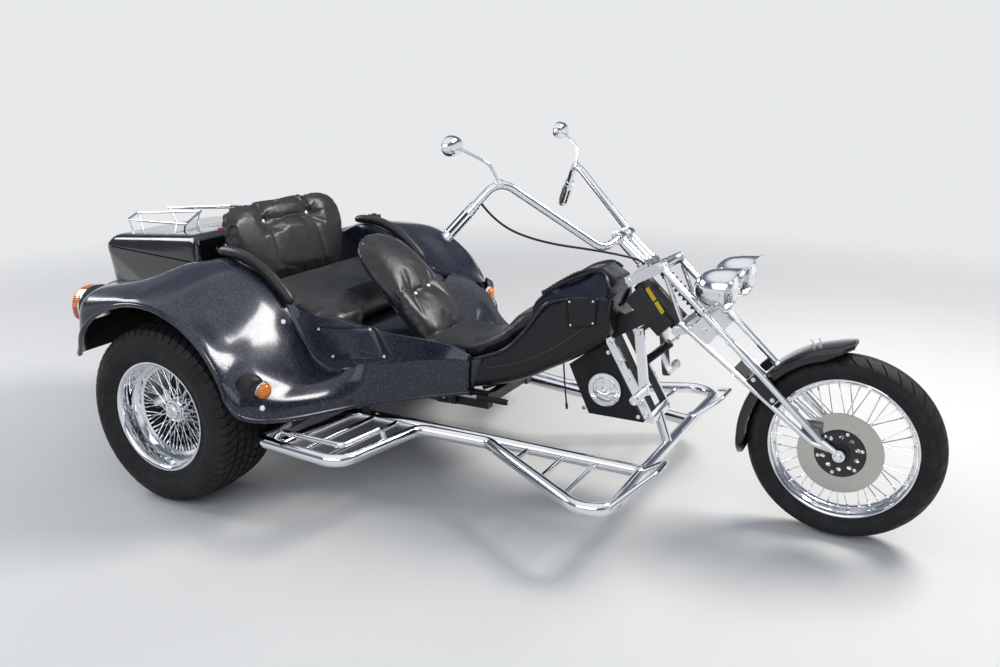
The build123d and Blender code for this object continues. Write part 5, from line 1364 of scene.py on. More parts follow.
class OBJECT_OT_trike_driver_seat(bpy.types.Operator):
    """Tall buttoned driver's back, the long dished cushion and its belt buckle"""
    bl_idname = "object.trike_driver_seat"
    bl_label = "Driver's seat"

    def execute(self, context):
        up = Vector((-0.735, 0, 0.678)).normalized()
        out = Vector((0.678, 0, 0.735)).normalized()
        origin = axle(0.753, 0, 0.528)
        half = table("""0,-.005 .1,-.003 .145,.015 .162,.08 .175,.17 .185,.27 .186,.37 .176,.45 .148,.52 .08,.566
            0,.58""")
        outline = [Vector(point) for point in smooth_line(doubled(half), 5, closed=True)]
        back = Shape()
        pad(back, origin, (0, 1, 0), up, outline, -0.08, -0.01, 0.03, 0.03)
        for index, point in enumerate(back.points):
            level, rise = (point - origin).dot(out), (point - origin).dot(up)
            thin = 0.6 * clamp((rise - 0.12) / 0.42)
            if level < -0.012:
                back.points[index] = point - out * (level + 0.012) * thin
        spots = [origin + Vector((0, y, 0)) + up * v + out * 0.012 for y, v in ((-0.056, 0.236), (0.056, 0.25))]
        low = origin + up * 0.034 + out * 0.006
        creases = [(spots[0], spots[1], -out, 0.014, 0.005),
            (spots[1], spots[1] + Vector((0, 0.09, 0)) + up * 0.03, -out, 0.014, 0.004),
            (spots[0], spots[0] + Vector((0, -0.08, 0)) + up * 0.05, -out, 0.02, 0.003),
            (low, low + Vector((0, 0.13, 0)) + up * 0.02, -out, 0.012, 0.006),
            (low, low + Vector((0, -0.13, 0)) + up * 0.02, -out, 0.012, 0.006)]
        stuffed(back, "driver_back_pad", "driver_backrest", 0.0075, 0.02,
            [(spots[0], -out, 0.048), (spots[1], -out, 0.048), (low, -out, 0.036)], creases)
        dent = context.scene.trike_seats.dent
        button_row("driver_buttons", [spot - out * (dent - 0.008) for spot in spots]
            + [low - out * (dent - 0.01)], -out)

        seat = Shape()
        stations = table(""".7,.16,.478,.55 .73,.162,.476,.556 .8,.163,.472,.553 .88,.16,.478,.549 .94,.154,.5,.562
            1,.144,.53,.59 1.04,.138,.556,.632 1.075,.132,.584,.676 1.104,.124,.605,.7 1.128,.112,.622,.706
            1.146,.085,.64,.698""")
        rows = []
        for x, width, bottom, top in smooth_line(stations, 5):
            row = []
            for k in range(32):
                angle = math.tau * k / 32
                side, rise = math.cos(angle), math.sin(angle)
                y = width * math.copysign(abs(side) ** 0.42, side)
                z = (bottom + top) / 2 + (top - bottom) / 2 * math.copysign(abs(rise) ** 0.62, rise)
                if rise > 0:
                    z += 0.01 * (abs(y) / width) ** 2 - 0.01
                row.append(axle(x, y, z))
            rows.append(row)
        seat.loft(rows)
        stuffed(seat, "driver_seat_pad", "driver_seat", 0.0075, 0.012)

        belt = Shape()
        tilt = Vector((0.62, 0, -0.4)).normalized()
        top = axle(0.796, -0.186, 0.486)
        belt.block(top, (0.058, 0.01, 0.02), 1, tilt, (0, 1, 0))
        belt.block(top - Vector((0.014, 0.002, 0.04)), (0.052, 0.02, 0.074), 0, tilt, (0, 1, 0), 0.1)
        web = [axle(0.775, -0.187, 0.43), axle(0.762, -0.196, 0.395), axle(0.752, -0.204, 0.35)]
        for start, end in zip(web, web[1:]):
            belt.block((start + end) / 2, (0.034, 0.004, (end - start).length + 0.004), 2, (1, 0, 0.1), (0, 1, 0))
        belt.piece("belt_buckle", "black_plastic red_webbing black_webbing", "chassis", bevel=0.003)
        return {"FINISHED"}


# Spine, nose and what hangs below them
SPINE = table(""".62,.245,.362,.466,.462 .75,.222,.36,.474,.47 .85,.203,.36,.482,.478 .93,.186,.37,.505,.492
    1.04,.168,.396,.552,.535 1.126,.158,.43,.645,.59 1.2,.152,.47,.742,.64 1.3,.146,.525,.772,.68
    1.4,.134,.592,.778,.71 1.44,.122,.645,.77,.725""")


def spine_at(column, x):
    """A column of SPINE read at a station."""
    return eased([(row[0], row[column]) for row in SPINE], x)


class OBJECT_OT_trike_spine(bpy.types.Operator):
    """Glossy spine cover with its worn seam, and the blue nose with its display"""
    bl_idname = "object.trike_spine"
    bl_label = "Spine and nose"

    def execute(self, context):
        cover = Shape()
        rows = []
        for x, half, low, side_top, top in smooth_line(SPINE, 6):
            tall = side_top - low
            lean = clamp((x - 1.1) / 0.12)
            profile = [(0.0, low), (half * 0.55, low), (half * 0.8, low + 0.002), (half * 0.93, low + 0.012),
                (half * 0.985, low + 0.028), (half, low + 0.045), (half * 1.0, low + tall * 0.55),
                (half * (0.985 - 0.05 * lean), side_top - 0.026), (half * (0.95 - 0.07 * lean), side_top - 0.008),
                (half * (0.88 - 0.08 * lean), side_top - 0.001), (half * (0.8 - 0.08 * lean), side_top - 0.006),
                (half * 0.55, top), (0.0, top)]
            rows.append([axle(x, y, z) for y, z in doubled(profile)])
        cover.loft(rows)
        cover.piece("spine_moulding", "spine_plastic", "chassis", angle=55, levels=1, stands_for="spine_cover",
            slot="black_plastic")

        trim = Shape()
        for sign in SIDES.values():
            seam = []
            for x, z in table(".96,.462 1.016,.472 1.115,.505 1.211,.555 1.304,.622 1.349,.663"):
                half = spine_at(1, x)
                seam.append(axle(x, sign * (half - 0.0005), z))
            trim.tube(smooth_line(seam, 8), 0.003, 8, 1)
            edge = []
            for x in (0.915, 0.98, 1.04, 1.09, 1.126, 1.16, 1.2, 1.26, 1.33, 1.4):
                half = spine_at(1, x)
                high = spine_at(3, x)
                edge.append(axle(x, sign * (half * 0.955 + 0.001), high - 0.009))
            trim.tube(smooth_line(edge, 5), 0.007, 10, 3)
            flank = []
            for x in [0.86 + 0.008 * k for k in range(12)]:
                half = spine_at(1, x) + 0.0045
                top = spine_at(3, x) - 0.01
                low = eased(table(".86,.364 .905,.366 .948,.482"), x)
                flank.append([axle(x, sign * (half - 0.012 * (1 - share) ** 4), min(low, top - 0.002)
                    + (top - min(low, top - 0.002)) * share) for share in (0, 0.1, 0.3, 0.55, 0.8, 1)])
            lining = [[point - Vector((0, sign * 0.006, 0)) for point in row] for row in flank]
            trim.loft([row + inner[::-1] for row, inner in zip(flank, lining)], 3)
            corners = [Vector(c) for c in table("1.281,.762 1.391,.773 1.392,.672 1.288,.654")]
            ring = rounded_loop(corners, [0.014] * 4, [4] * 4)
            middle = sum(ring, Vector((0, 0))) / len(ring)
            hatch = shrunk(ring, table("1.06,-.003 1.055,.003 1,.0055 .97,.0045 .955,.0015 .93,.0035 .5,.0048"),
                lambda flat, out: axle(flat.x, sign * (spine_at(1, flat.x) * 0.985 + out), flat.y))
            trim.grid(hatch, round_columns=True)
            trim.add(hatch[-1], [list(range(len(ring)))], 0)
            for corner in corners:
                spot = middle + (corner - middle) * 0.8
                trim.lathe(axle(spot.x, sign * (spine_at(1, spot.x) * 0.985 + 0.003), spot.y), (0, sign, 0),
                    table("0,.0048 .003,.0042 .0036,.001"), 14, 2)
        trim.piece("spine_trim", "spine_plastic seam_wear chrome body_paint", "chassis", angle=50,
            slot="black_plastic")

        nose = Shape()
        stations = table("""1.138,.59,.715 1.146,.592,.735 1.162,.595,.752 1.188,.6,.774 1.256,.625,.822
            1.31,.648,.851 1.367,.672,.866 1.4,.69,.852 1.424,.705,.822 1.43,.715,.78""")
        rows = []
        for x, low, top in smooth_line(stations, 5):
            shoulder = min(0.772, top - 0.012)
            slope = (top - shoulder) / 0.09
            inner = 0.128 - 0.052 * min(slope, 1.0)
            half = 0.133 - 0.01 * clamp((x - 1.36) / 0.07)
            profile = [(0.0, low), (half * 0.9, low), (half, low + 0.01), (half, shoulder - 0.012),
                (half * 0.99, shoulder - 0.002), (half * 0.95, shoulder + 0.004), (inner + 0.012, top - 0.01),
                (inner, top - 0.002), (inner - 0.012, top), (0.0, top + 0.001)]
            rows.append([axle(x, y, z) for y, z in doubled(profile)])
        nose.loft(rows)
        nose.piece("nose_moulding", "blue_plastic", "chassis", angle=42, stands_for="nose_console",
            slot="blue_plastic")

        parts = Shape()
        for sign in SIDES.values():
            for k in range(17):
                share = k / 16
                x = 1.186 + 0.185 * share
                z = eased(table("1.188,.774 1.256,.822 1.31,.851 1.367,.866 1.4,.852"), x)
                y = 0.132 - 0.05 * clamp((z - 0.774) / 0.09)
                parts.lathe(axle(x, sign * y, z - 0.006), (-0.35, sign * 0.5, 1), table("""-.006,.0095 .006,.01
                    .012,.008 .0135,.001"""), 12)
            route = [axle(1.18, sign * 0.133, 0.768), axle(1.28, sign * 0.118, 0.826),
                axle(1.37, sign * 0.088, 0.862), axle(1.405, sign * 0.088, 0.848)]
            parts.tube(smooth_line(route, 8), 0.006, 8)
        along = Vector((0.88, 0, -0.475)).normalized()
        centre = axle(1.398, 0, 0.836)
        parts.block(centre, (0.088, 0.148, 0.032), 0, along, (0, 1, 0), 0.06)
        normal = along.cross(Vector((0, 1, 0)))
        parts.block(centre + normal * 0.017, (0.076, 0.134, 0.004), 0, along, (0, 1, 0), 0.02)
        parts.block(centre + normal * 0.018, (0.062, 0.112, 0.0045), 2, along, (0, 1, 0))
        for y in (-0.046, 0.046):
            parts.lathe(centre + normal * 0.017 + Vector((0, y, 0)) + along * 0.033, normal, table("""0,.005
                .004,.0046 .0046,.0005"""), 16, 0)
        parts.piece("nose_display", "black_plastic chrome grey_display", "chassis", angle=35, bevel=0.0015,
            slot="black_plastic")

        dress("neck", "frame_paint")
        stripes = Shape()
        for outline in (table("1.543,.806 1.5545,.8165 1.5865,.7745 1.575,.764"), table("""1.5785,.7595 1.59,.77
                1.6185,.7315 1.607,.721""")):
            stripes.slab([(REAR_X + x, z) for x, z in outline], -0.0535, -0.0518)
        stripes.piece("neck_stripes", "yellow_stripe", "chassis", bevel=0.0005)
        return {"FINISHED"}


class OBJECT_OT_trike_underbody(bpy.types.Operator):
    """Frame, engine, gearbox, axle, springs, silencer and bumper with their fixings"""
    bl_idname = "object.trike_underbody"
    bl_label = "Frame and engine"

    def execute(self, context):
        for name in ("main_frame", "rear_axle"):
            dress(name, "frame_paint")
        dress("engine_block", "cast_metal")
        dress("gearbox", "cast_metal")
        dress("exhaust", "burnt_steel")
        dress("rear_bumper", "chrome")
        engine = Shape()
        for sign in SIDES.values():
            face = sign * 0.235
            for bank in (-0.5, -0.3):
                for k in range(11):
                    engine.block(axle(bank, face + sign * 0.0265 * 0.5, 0.262 + 0.0135 * k),
                        (0.15, 0.0265, 0.0045), 0)
                engine.block(axle(bank, face + sign * 0.03, 0.33), (0.112, 0.012, 0.125), 0)
            engine.block(axle(-0.4, face + sign * 0.012, 0.47), (0.38, 0.024, 0.06), 1, taper=0.2)
            for x in (-0.56, -0.47, -0.33, -0.24):
                engine.bolt(axle(x, face + sign * 0.0235, 0.468), (0, sign, 0), 0.007, 0.007, 2)
        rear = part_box("engine_block")[0].x
        engine.lathe((rear + 0.002, 0, 0.285), (-1, 0, 0), table("""0,.03 .018,.03 .02,.078 .024,.082 .03,.074
            .036,.082 .04,.078 .041,.02 .048,.018 .048,.001"""), 48, 2)
        engine.lathe((rear + 0.002, 0.02, 0.462), (-1, 0, 0), table("""0,.024 .018,.024 .02,.05 .024,.054 .03,.046
            .036,.054 .04,.05 .041,.014 .046,.012 .046,.001"""), 40, 2)
        belt = []
        for k in range(49):
            angle = math.tau * k / 48
            upper = math.sin(angle) > 0
            radius, centre = (0.048, (0.02, 0.462)) if upper else (0.076, (0.0, 0.285))
            belt.append(((rear - 0.028), centre[0] + radius * math.cos(angle), centre[1] + radius * math.sin(angle)))
        engine.tube(belt, 0.0045, 8, 3)
        engine.block(axle(-0.39, 0, 0.525), (0.36, 0.3, 0.02), 1, taper=0.15)
        engine.lathe(axle(-0.36, 0, 0.532), (0, 0, 1), table("0,.05 .01,.05 .013,.045 .015,.001"), 36, 1)
        engine.piece("engine_details", "cast_metal frame_paint chrome grip_rubber", "chassis", bevel=0.0012,
            slot="engine_metal")

        springs = Shape()
        for sign in SIDES.values():
            foot, head = axle(-0.06, sign * 0.328, 0.372), axle(-0.06, sign * 0.301, 0.528)
            along = (head - foot).normalized()
            springs.lathe(foot, along, table("""-.02,.012 -.016,.022 0,.024 .07,.024 .072,.009 .15,.009 .152,.026
                .16,.026 .162,.014 .172,.012"""), 28, 1)
            springs.lathe(foot, along, [(0.004, 0.033), (0.01, 0.033)], 28, 1)
            springs.tube(coil(foot, along, 0.014, 0.132, 6.5, 0.0285, 150), 0.0048, 8)
            springs.block(axle(-0.06, sign * 0.283, 0.535), (0.03, 0.06, 0.02), 1)
            springs.bolt(axle(-0.0445, sign * 0.29, 0.535), (1, 0, 0), 0.008, 0.007, 0)
        springs.piece("rear_spring_units", "chrome frame_paint", "chassis", bevel=0.001, stands_for="rear_shocks",
            slot="brushed_steel")

        plate = Shape()
        low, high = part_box("number_plate")
        middle = (low + high) / 2
        ring = rounded_loop([Vector(c) for c in table("-.13,-.075 .13,-.075 .13,.075 -.13,.075")], [0.01] * 4, [3]
            * 4)
        rows = shrunk(ring, table("1,.004 1,.0006 .992,0 .975,0 .968,.0016 .94,.0018 .2,.0018"), lambda flat,
            back: Vector((low.x + back, middle.y + flat.x, 0.712 + flat.y)))
        plate.grid(rows[:5], 1, round_columns=True)
        plate.grid(rows[4:], round_columns=True)
        plate.add(rows[0], [list(range(len(ring)))], 1)
        plate.add(rows[-1], [list(range(len(ring)))], 0)
        for y in (-0.1, 0.1):
            plate.lathe((low.x + 0.002, y, 0.757), (-1, 0, 0), table("0,.007 .0025,.0066 .004,.004 .0042,.0008"),
                16, 2)
        plate.block((low.x + 0.0155, 0, 0.712), (0.024, 0.118, 0.058), 1)
        plate.piece("blank_plate", "plate_white black_plastic chrome", "chassis", angle=30,
            stands_for="number_plate", slot="plate_white")
        return {"FINISHED"}


class OBJECT_OT_trike_front_works(bpy.types.Operator):
    """Front box with its round cover, the flat struts, foot pegs, handbrake and damper"""
    bl_idname = "object.trike_front_works"
    bl_label = "Front box, struts and controls"

    def execute(self, context):
        dress("front_box", "box_black")
        dress("front_support", "chrome")
        dress("foot_controls", "chrome")
        cover = Shape()
        centre = axle(1.413, -0.0845, 0.417)
        cover.lathe(centre, (0, -1, 0), table("""-.006,.0648 0,.065 .0022,.064 .0028,.0615 .0012,.06 .0012,.047
            .002,.0455 .0044,.044 .0052,.041 .0052,.013 .0062,.0118 .008,.01 .0086,.0008"""), 72, 0)
        for k in range(36):
            angle = math.tau * k / 36
            spot = wheel_point(centre, 0.0535, angle, -0.0016)
            cover.lathe(spot, (0, -1, 0), table("-.001,.004 .001,.0036 .0017,.0005"), 10, 0)
        for k in range(5):
            angle = math.tau * (k + 0.3) / 5
            spot = wheel_point(centre, 0.03, angle, -0.0052)
            cover.lathe(spot, (0, -1, 0), table("0,.0065 .002,.006 .003,.0035 .0031,.0005"), 18, 0)
        cover.piece("round_cover", "chrome", "chassis", angle=28, slot="chrome")

        fixings = Shape()
        for x, z in ((1.33, 0.33), (1.545, 0.33), (1.42, 0.56)):
            for sign in SIDES.values():
                fixings.bolt(axle(x, sign * 0.078, z), (0, sign, 0), 0.006, 0.005)
        for sign in SIDES.values():
            for x, z, radius in table("1.474,.537,.01 1.512,.478,.007 1.585,.352,.01 1.438,.605,.008"):
                fixings.bolt(axle(x, sign * 0.1, z), (0, sign, 0), radius, 0.008)
            top, foot = axle(1.553, sign * 0.128, 0.668), axle(1.583, sign * 0.128, 0.452)
            fixings.bolt(top + Vector((0, sign * 0.007, 0)), (0, sign, 0), 0.011, 0.009)
            for k in range(9):
                fixings.lathe(foot + Vector((0, sign * (0.018 + 0.0105 * k), 0)), (0, sign, 0), table("""0,.0142
                    .0012,.016 .0062,.016 .0074,.0142"""), 22, 0)
            fixings.lathe(foot + Vector((0, sign * 0.108, 0)), (0, sign, 0), table("""0,.0175 .006,.0178 .01,.015
                .0115,.008 .0105,.007 .0105,.0005"""), 26)
        fixings.piece("front_fixings", "chrome grip_rubber", "chassis", slot="chrome")

        low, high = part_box("handbrake_lever")
        y = (low.y + high.y) / 2
        lever = Shape()
        lever.slab([(REAR_X + x, z) for x, z in table(".76,.302 .76,.358 .79,.368 .83,.372 .85,.304")], y - 0.004,
            y + 0.004, 2)
        lever.slab([(REAR_X + x, z) for x, z in table(".764,.306 .766,.352 .806,.36 .838,.31")], y + 0.004, y
            + 0.012, 2)
        handle = [axle(0.782, y, 0.346), axle(0.86, y, 0.3475), axle(0.95, y, 0.3475)]
        lever.tube(smooth_line(handle, 6), 0.0088, 16, 0)
        start = axle(0.94, y, 0.3475)
        lever.lathe(start, (1, 0, -0.01), table("""0,.01 .002,.0118 .01,.0122 .045,.0112 .09,.0118 .118,.0122
            .128,.0105 .131,.007 .1315,.001"""), 24, 1)
        lever.rod(start + Vector((0.129, 0, -0.001)), start + Vector((0.137, 0, -0.001)), 0.005, 14, 0)
        for k in range(9):
            lever.block(axle(0.822 - 0.003 * k * 0.2, y - 0.005, 0.312 + 0.006 * k), (0.006, 0.004, 0.003), 0)
        lever.bolt(axle(0.788, y - 0.004, 0.33), (0, -1, 0), 0.008, 0.007, 0)
        lever.piece("handbrake", "chrome grip_rubber frame_paint", "chassis", bevel=0.0008,
            stands_for="handbrake_lever", slot="black_plastic")

        damper = Shape()
        foot, neck_end, eye = axle(1.515, 0.06, 0.5), axle(1.615, 0.045, 0.592), axle(1.643, 0.04, 0.618)
        along = (neck_end - foot).normalized()
        length = (neck_end - foot).length
        damper.lathe(foot, along, [(-0.004, 0.008), (0.0, 0.015), (0.006, 0.017), (0.01, 0.017), (0.011, 0.0158),
            (length - 0.02, 0.0158), (length - 0.018, 0.017), (length - 0.002, 0.017), (length, 0.012),
            (length, 0.006)], 28, 0)
        damper.rod(neck_end - along * 0.004, eye, 0.0048, 14, 1)
        damper.lathe(eye - Vector((0, 0.006, 0)), (0, 1, 0), table("0,.0092 .012,.0092 .012,.005 0,.005"), 22, 1,
            closed=True)
        damper.rod(foot, axle(1.515, 0.085, 0.5), 0.0088, 16, 1)
        damper.piece("damper_unit", "black_plastic chrome", "chassis", stands_for="steering_damper",
            slot="brushed_steel")
        return {"FINISHED"}


class OBJECT_OT_trike_steps(bpy.types.Operator):
    """Chrome side steps with their clamps and bolts"""
    bl_idname = "object.trike_steps"
    bl_label = "Side steps"

    def execute(self, context):
        for side in SIDES:
            dress("side_step_" + side, "chrome")
        caps = Shape()
        for sign in SIDES.values():
            caps.lathe(axle(1.639, sign * 0.3, 0.216), (0, sign, 0.02), table("""-.012,.024 -.008,.0246 .008,.0246
                .012,.024"""), 28)
        caps.piece("step_collars", "chrome", "chassis", slot="chrome")
        return {"FINISHED"}


# Steering
class OBJECT_OT_trike_fork(bpy.types.Operator):
    """Girder fork with its trees, links, bolts, spring unit and black gusset blocks"""
    bl_idname = "object.trike_fork"
    bl_label = "Girder fork"

    def execute(self, context):
        dress("steering_stem", "bright_link")
        dress("girder_fork", "chrome")
        dress("fork_plate", "frame_paint")
        dress("brake_caliper", "cast_metal")
        details = Shape()
        for sign in SIDES.values():
            for down, off, y, radius in table("""-.126,-.002,.087,.01 -.078,.128,.111,.012 .115,.006,.087,.01
                    .148,.05,.1,.01 .182,.089,.105,.009"""):
                details.bolt(fork(down, off, sign * y), (0, sign, 0), radius, 0.009)
            hub = fork(0.7838, 0.1363, sign * 0.1125)
            details.bolt(hub, (0, sign, 0), 0.0125, 0.011)
            details.lathe(hub - Vector((0, sign * 0.012, 0)), (0, sign, 0), table("""0,.0205 .01,.0208 .0125,.019
                .013,.013"""), 28)
            block = fork(0.462, 0.0985, sign * 0.1)
            details.block(block, (0.04, 0.018, 0.118), 1, OFF_FORK, (0, 1, 0))
            for down in (0.415, 0.508):
                details.bolt(fork(down, 0.0985, sign * 0.1085), (0, sign, 0), 0.006, 0.006)
            for down in (0.405, 0.52):
                details.rod(fork(down, 0.072, sign * 0.1), fork(down, 0.124, sign * 0.1), 0.0045, 10)
        upper, lower = fork(-0.07, 0.088, 0), fork(0.135, 0.088, 0)
        along = (lower - upper).normalized()
        details.lathe(upper, along, table("""-.012,.01 0,.019 .012,.019 .014,.0105 .1,.0105 .102,.015 .19,.015
            .194,.019 .204,.019 .212,.008"""), 26, 1)
        details.tube(coil(upper, along, 0.012, 0.178, 8.5, 0.0195, 190), 0.0034, 8, 1)
        for down, off in ((-0.078, 0.1), (0.146, 0.072)):
            details.rod(fork(down, off, -0.094), fork(down, off, 0.094), 0.007, 14)
        details.piece("fork_details", "chrome frame_paint", "steering", bevel=0.0008, slot="chrome")

        caliper = Shape()
        low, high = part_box("brake_caliper")
        middle = (low + high) / 2
        for off in (-0.016, 0.016):
            caliper.lathe((middle.x + off, low.y + 0.001, middle.z), (0, -1, 0), table("""0,.0125 .006,.0125
                .009,.0105 .0095,.004 .008,.003 .008,.0005"""), 26)
        caliper.bolt((middle.x - 0.024, low.y + 0.002, middle.z + 0.018), (0, -1, 0), 0.005, 0.006, 1)
        caliper.bolt((middle.x + 0.024, low.y + 0.002, middle.z - 0.018), (0, -1, 0), 0.005, 0.006, 1)
        caliper.piece("caliper_pistons", "cast_metal chrome", "steering", slot="bright_aluminium")
        return {"FINISHED"}


class OBJECT_OT_trike_front_fender(bpy.types.Operator):
    """Front fender: a rolled channel with a flared tip, its stay and studs"""
    bl_idname = "object.trike_front_fender"
    bl_label = "Front fender"

    def execute(self, context):
        rows, under = [], []
        for k in range(67):
            angle = 88.5 + 104.3 * k / 66
            front_flare = max(0.0, (104 - angle) / 15.5)
            rear_flare = max(0.0, (angle - 178) / 15)
            lift = 0.016 * front_flare ** 2 + 0.007 * rear_flare ** 2
            narrow = 1 - 0.42 * max(0, (97 - angle) / 8.5) ** 2 - 0.55 * max(0, (angle - 183) / 10) ** 2
            skirt = 0.024 * (1 - front_flare) * (1 - 0.75 * rear_flare) + 0.003
            profile = [(0.0745, 0.3535 - 0.006 - skirt), (0.0775, 0.3535 - 0.004 - skirt), (0.078, 0.34),
                (0.0768, 0.3465), (0.0725, 0.3515), (0.064, 0.3545), (0.045, 0.3568), (0.022, 0.358),
                (0.0, 0.3584)]
            profile = [(y * narrow, min(r, 0.36) if r > 0.3395 else r) for y, r in profile]
            full = profile + [(-y, r) for y, r in reversed(profile[:-1])]
            turn = math.radians(angle)
            for target, less in ((rows, 0.0), (under, 0.0032)):
                target.append([FRONT_AXLE + Vector(((r + lift - less) * math.cos(turn), y * (1 - less * 12),
                    (r + lift - less) * math.sin(turn))) for y, r in full])
        fender = Shape()
        fender.loft([row + inner[::-1] for row, inner in zip(rows, under)])
        fender.piece("front_fender_skin", "boot_paint", "steering", angle=40, stands_for="front_fender",
            slot="body_paint")
        studs = Shape()
        for x in (2.127, 2.149):
            foot = axle(x, 0, 0.0)
            reach = foot.x - FRONT_AXLE.x
            z = FRONT_AXLE.z + math.sqrt(0.359 ** 2 - reach ** 2)
            studs.bolt(Vector((foot.x, 0, z)), (reach, 0, z - FRONT_AXLE.z), 0.0065, 0.007)
            studs.rod((foot.x, 0, z), (foot.x + reach * 0.06, 0, z + 0.024), 0.0032, 12)
        studs.piece("fender_studs", "chrome", "steering", slot="chrome")
        return {"FINISHED"}


class OBJECT_OT_trike_handlebar(bpy.types.Operator):
    """High handlebar, banded grips, clamps and oval mirrors"""
    bl_idname = "object.trike_handlebar"
    bl_label = "Handlebar"

    def execute(self, context):
        dress("handlebar", "chrome")
        grips = Shape()
        for sign in SIDES.values():
            end = from_head(-0.606, sign * 0.485, 0.258)
            inward = (from_head(-0.485, sign * 0.328, 0.445) - end).normalized()
            first, second = across(inward)
            rows = []
            for along in (-0.006, -0.003, 0.012, 0.014, 0.017, 0.108, 0.111, 0.113, 0.126, 0.133, 0.135):
                row = []
                for k in range(64):
                    angle = math.tau * k / 64
                    radius = 0.0188
                    if 0.0145 < along < 0.1105:
                        radius = 0.0198 if k % 8 in (1, 2, 3, 4, 5) else 0.0178
                    if along in (-0.006, 0.135):
                        radius = 0.015
                    row.append(end + inward * along + (first * math.cos(angle) + second * math.sin(angle))
                        * radius)
                rows.append(row)
            start = len(grips.faces) + 4 * 64
            grips.loft(rows)
            for k in range(64):
                if k % 8 in (1, 2, 3, 4):
                    grips.finishes[start + k] = 1
            lever_end = end + inward * 0.142
            grips.lathe(lever_end, inward, table("-.008,.0135 -.006,.0175 .01,.0175 .013,.014"), 28, 0)
        grips.piece("banded_grips", "chrome grip_rubber", "steering", angle=30, stands_for="handlebar_grips",
            slot="black_plastic")

        heads = Shape()
        for sign in SIDES.values():
            stem = [from_head(x, sign * y, z) for x, y, z in table("""-.48,.331,.428 -.486,.345,.455 -.5,.372,.497
                -.528,.396,.52 -.58,.432,.552""")]
            heads.tube(smooth_line(stem, 6), 0.0048, 12)
            head = from_head(-0.596, sign * 0.44, 0.56)
            rows = []
            for shift, share in table(""".019,.05 .018,.36 .015,.62 .008,.84 -.002,.96 -.011,1 -.015,.985 -.0158,.95
                    -.014,.93"""):
                rows.append(circle(head + Vector((shift, 0, 0)), Vector((0, 0.0585, 0)), Vector((0, 0, 0.035)),
                    share, 48))
            heads.loft(rows, 0, 1)
            heads.lathe(from_head(-0.484, sign * 0.332, 0.43), (-0.2, sign * 0.3, 0.93), table("""-.01,.0185
                -.008,.0195 .006,.0195 .01,.012 .014,.0085"""), 24)
        heads.piece("oval_mirrors", "chrome mirror_glass", "steering", angle=40, stands_for="mirrors",
            slot="chrome")

        clamps = Shape()
        for sign in SIDES.values():
            top = fork(-0.262, 0.066, sign * 0.046)
            clamps.lathe(top - Vector((0, 0.02, 0)), (0, 1, 0), table("""0,.0205 .003,.0225 .037,.0225 .04,.0205
                .04,.015 0,.015"""), 32, 0, closed=True)
            for off in (-0.014, 0.014):
                clamps.lathe(top + UP_FORK * 0.017 + Vector((0, off, 0)), UP_FORK, table("""0,.005 .01,.005
                    .0115,.0038 .0095,.0024 .0095,.0004"""), 18)
            foot = fork(-0.126, 0.066, sign * 0.04)
            clamps.lathe(foot + UP_FORK * 0.008, UP_FORK, table("0,.0245 .003,.026 .01,.0255 .013,.0225"), 32)
        clamps.piece("bar_clamps", "chrome", "steering", slot="chrome")
        return {"FINISHED"}


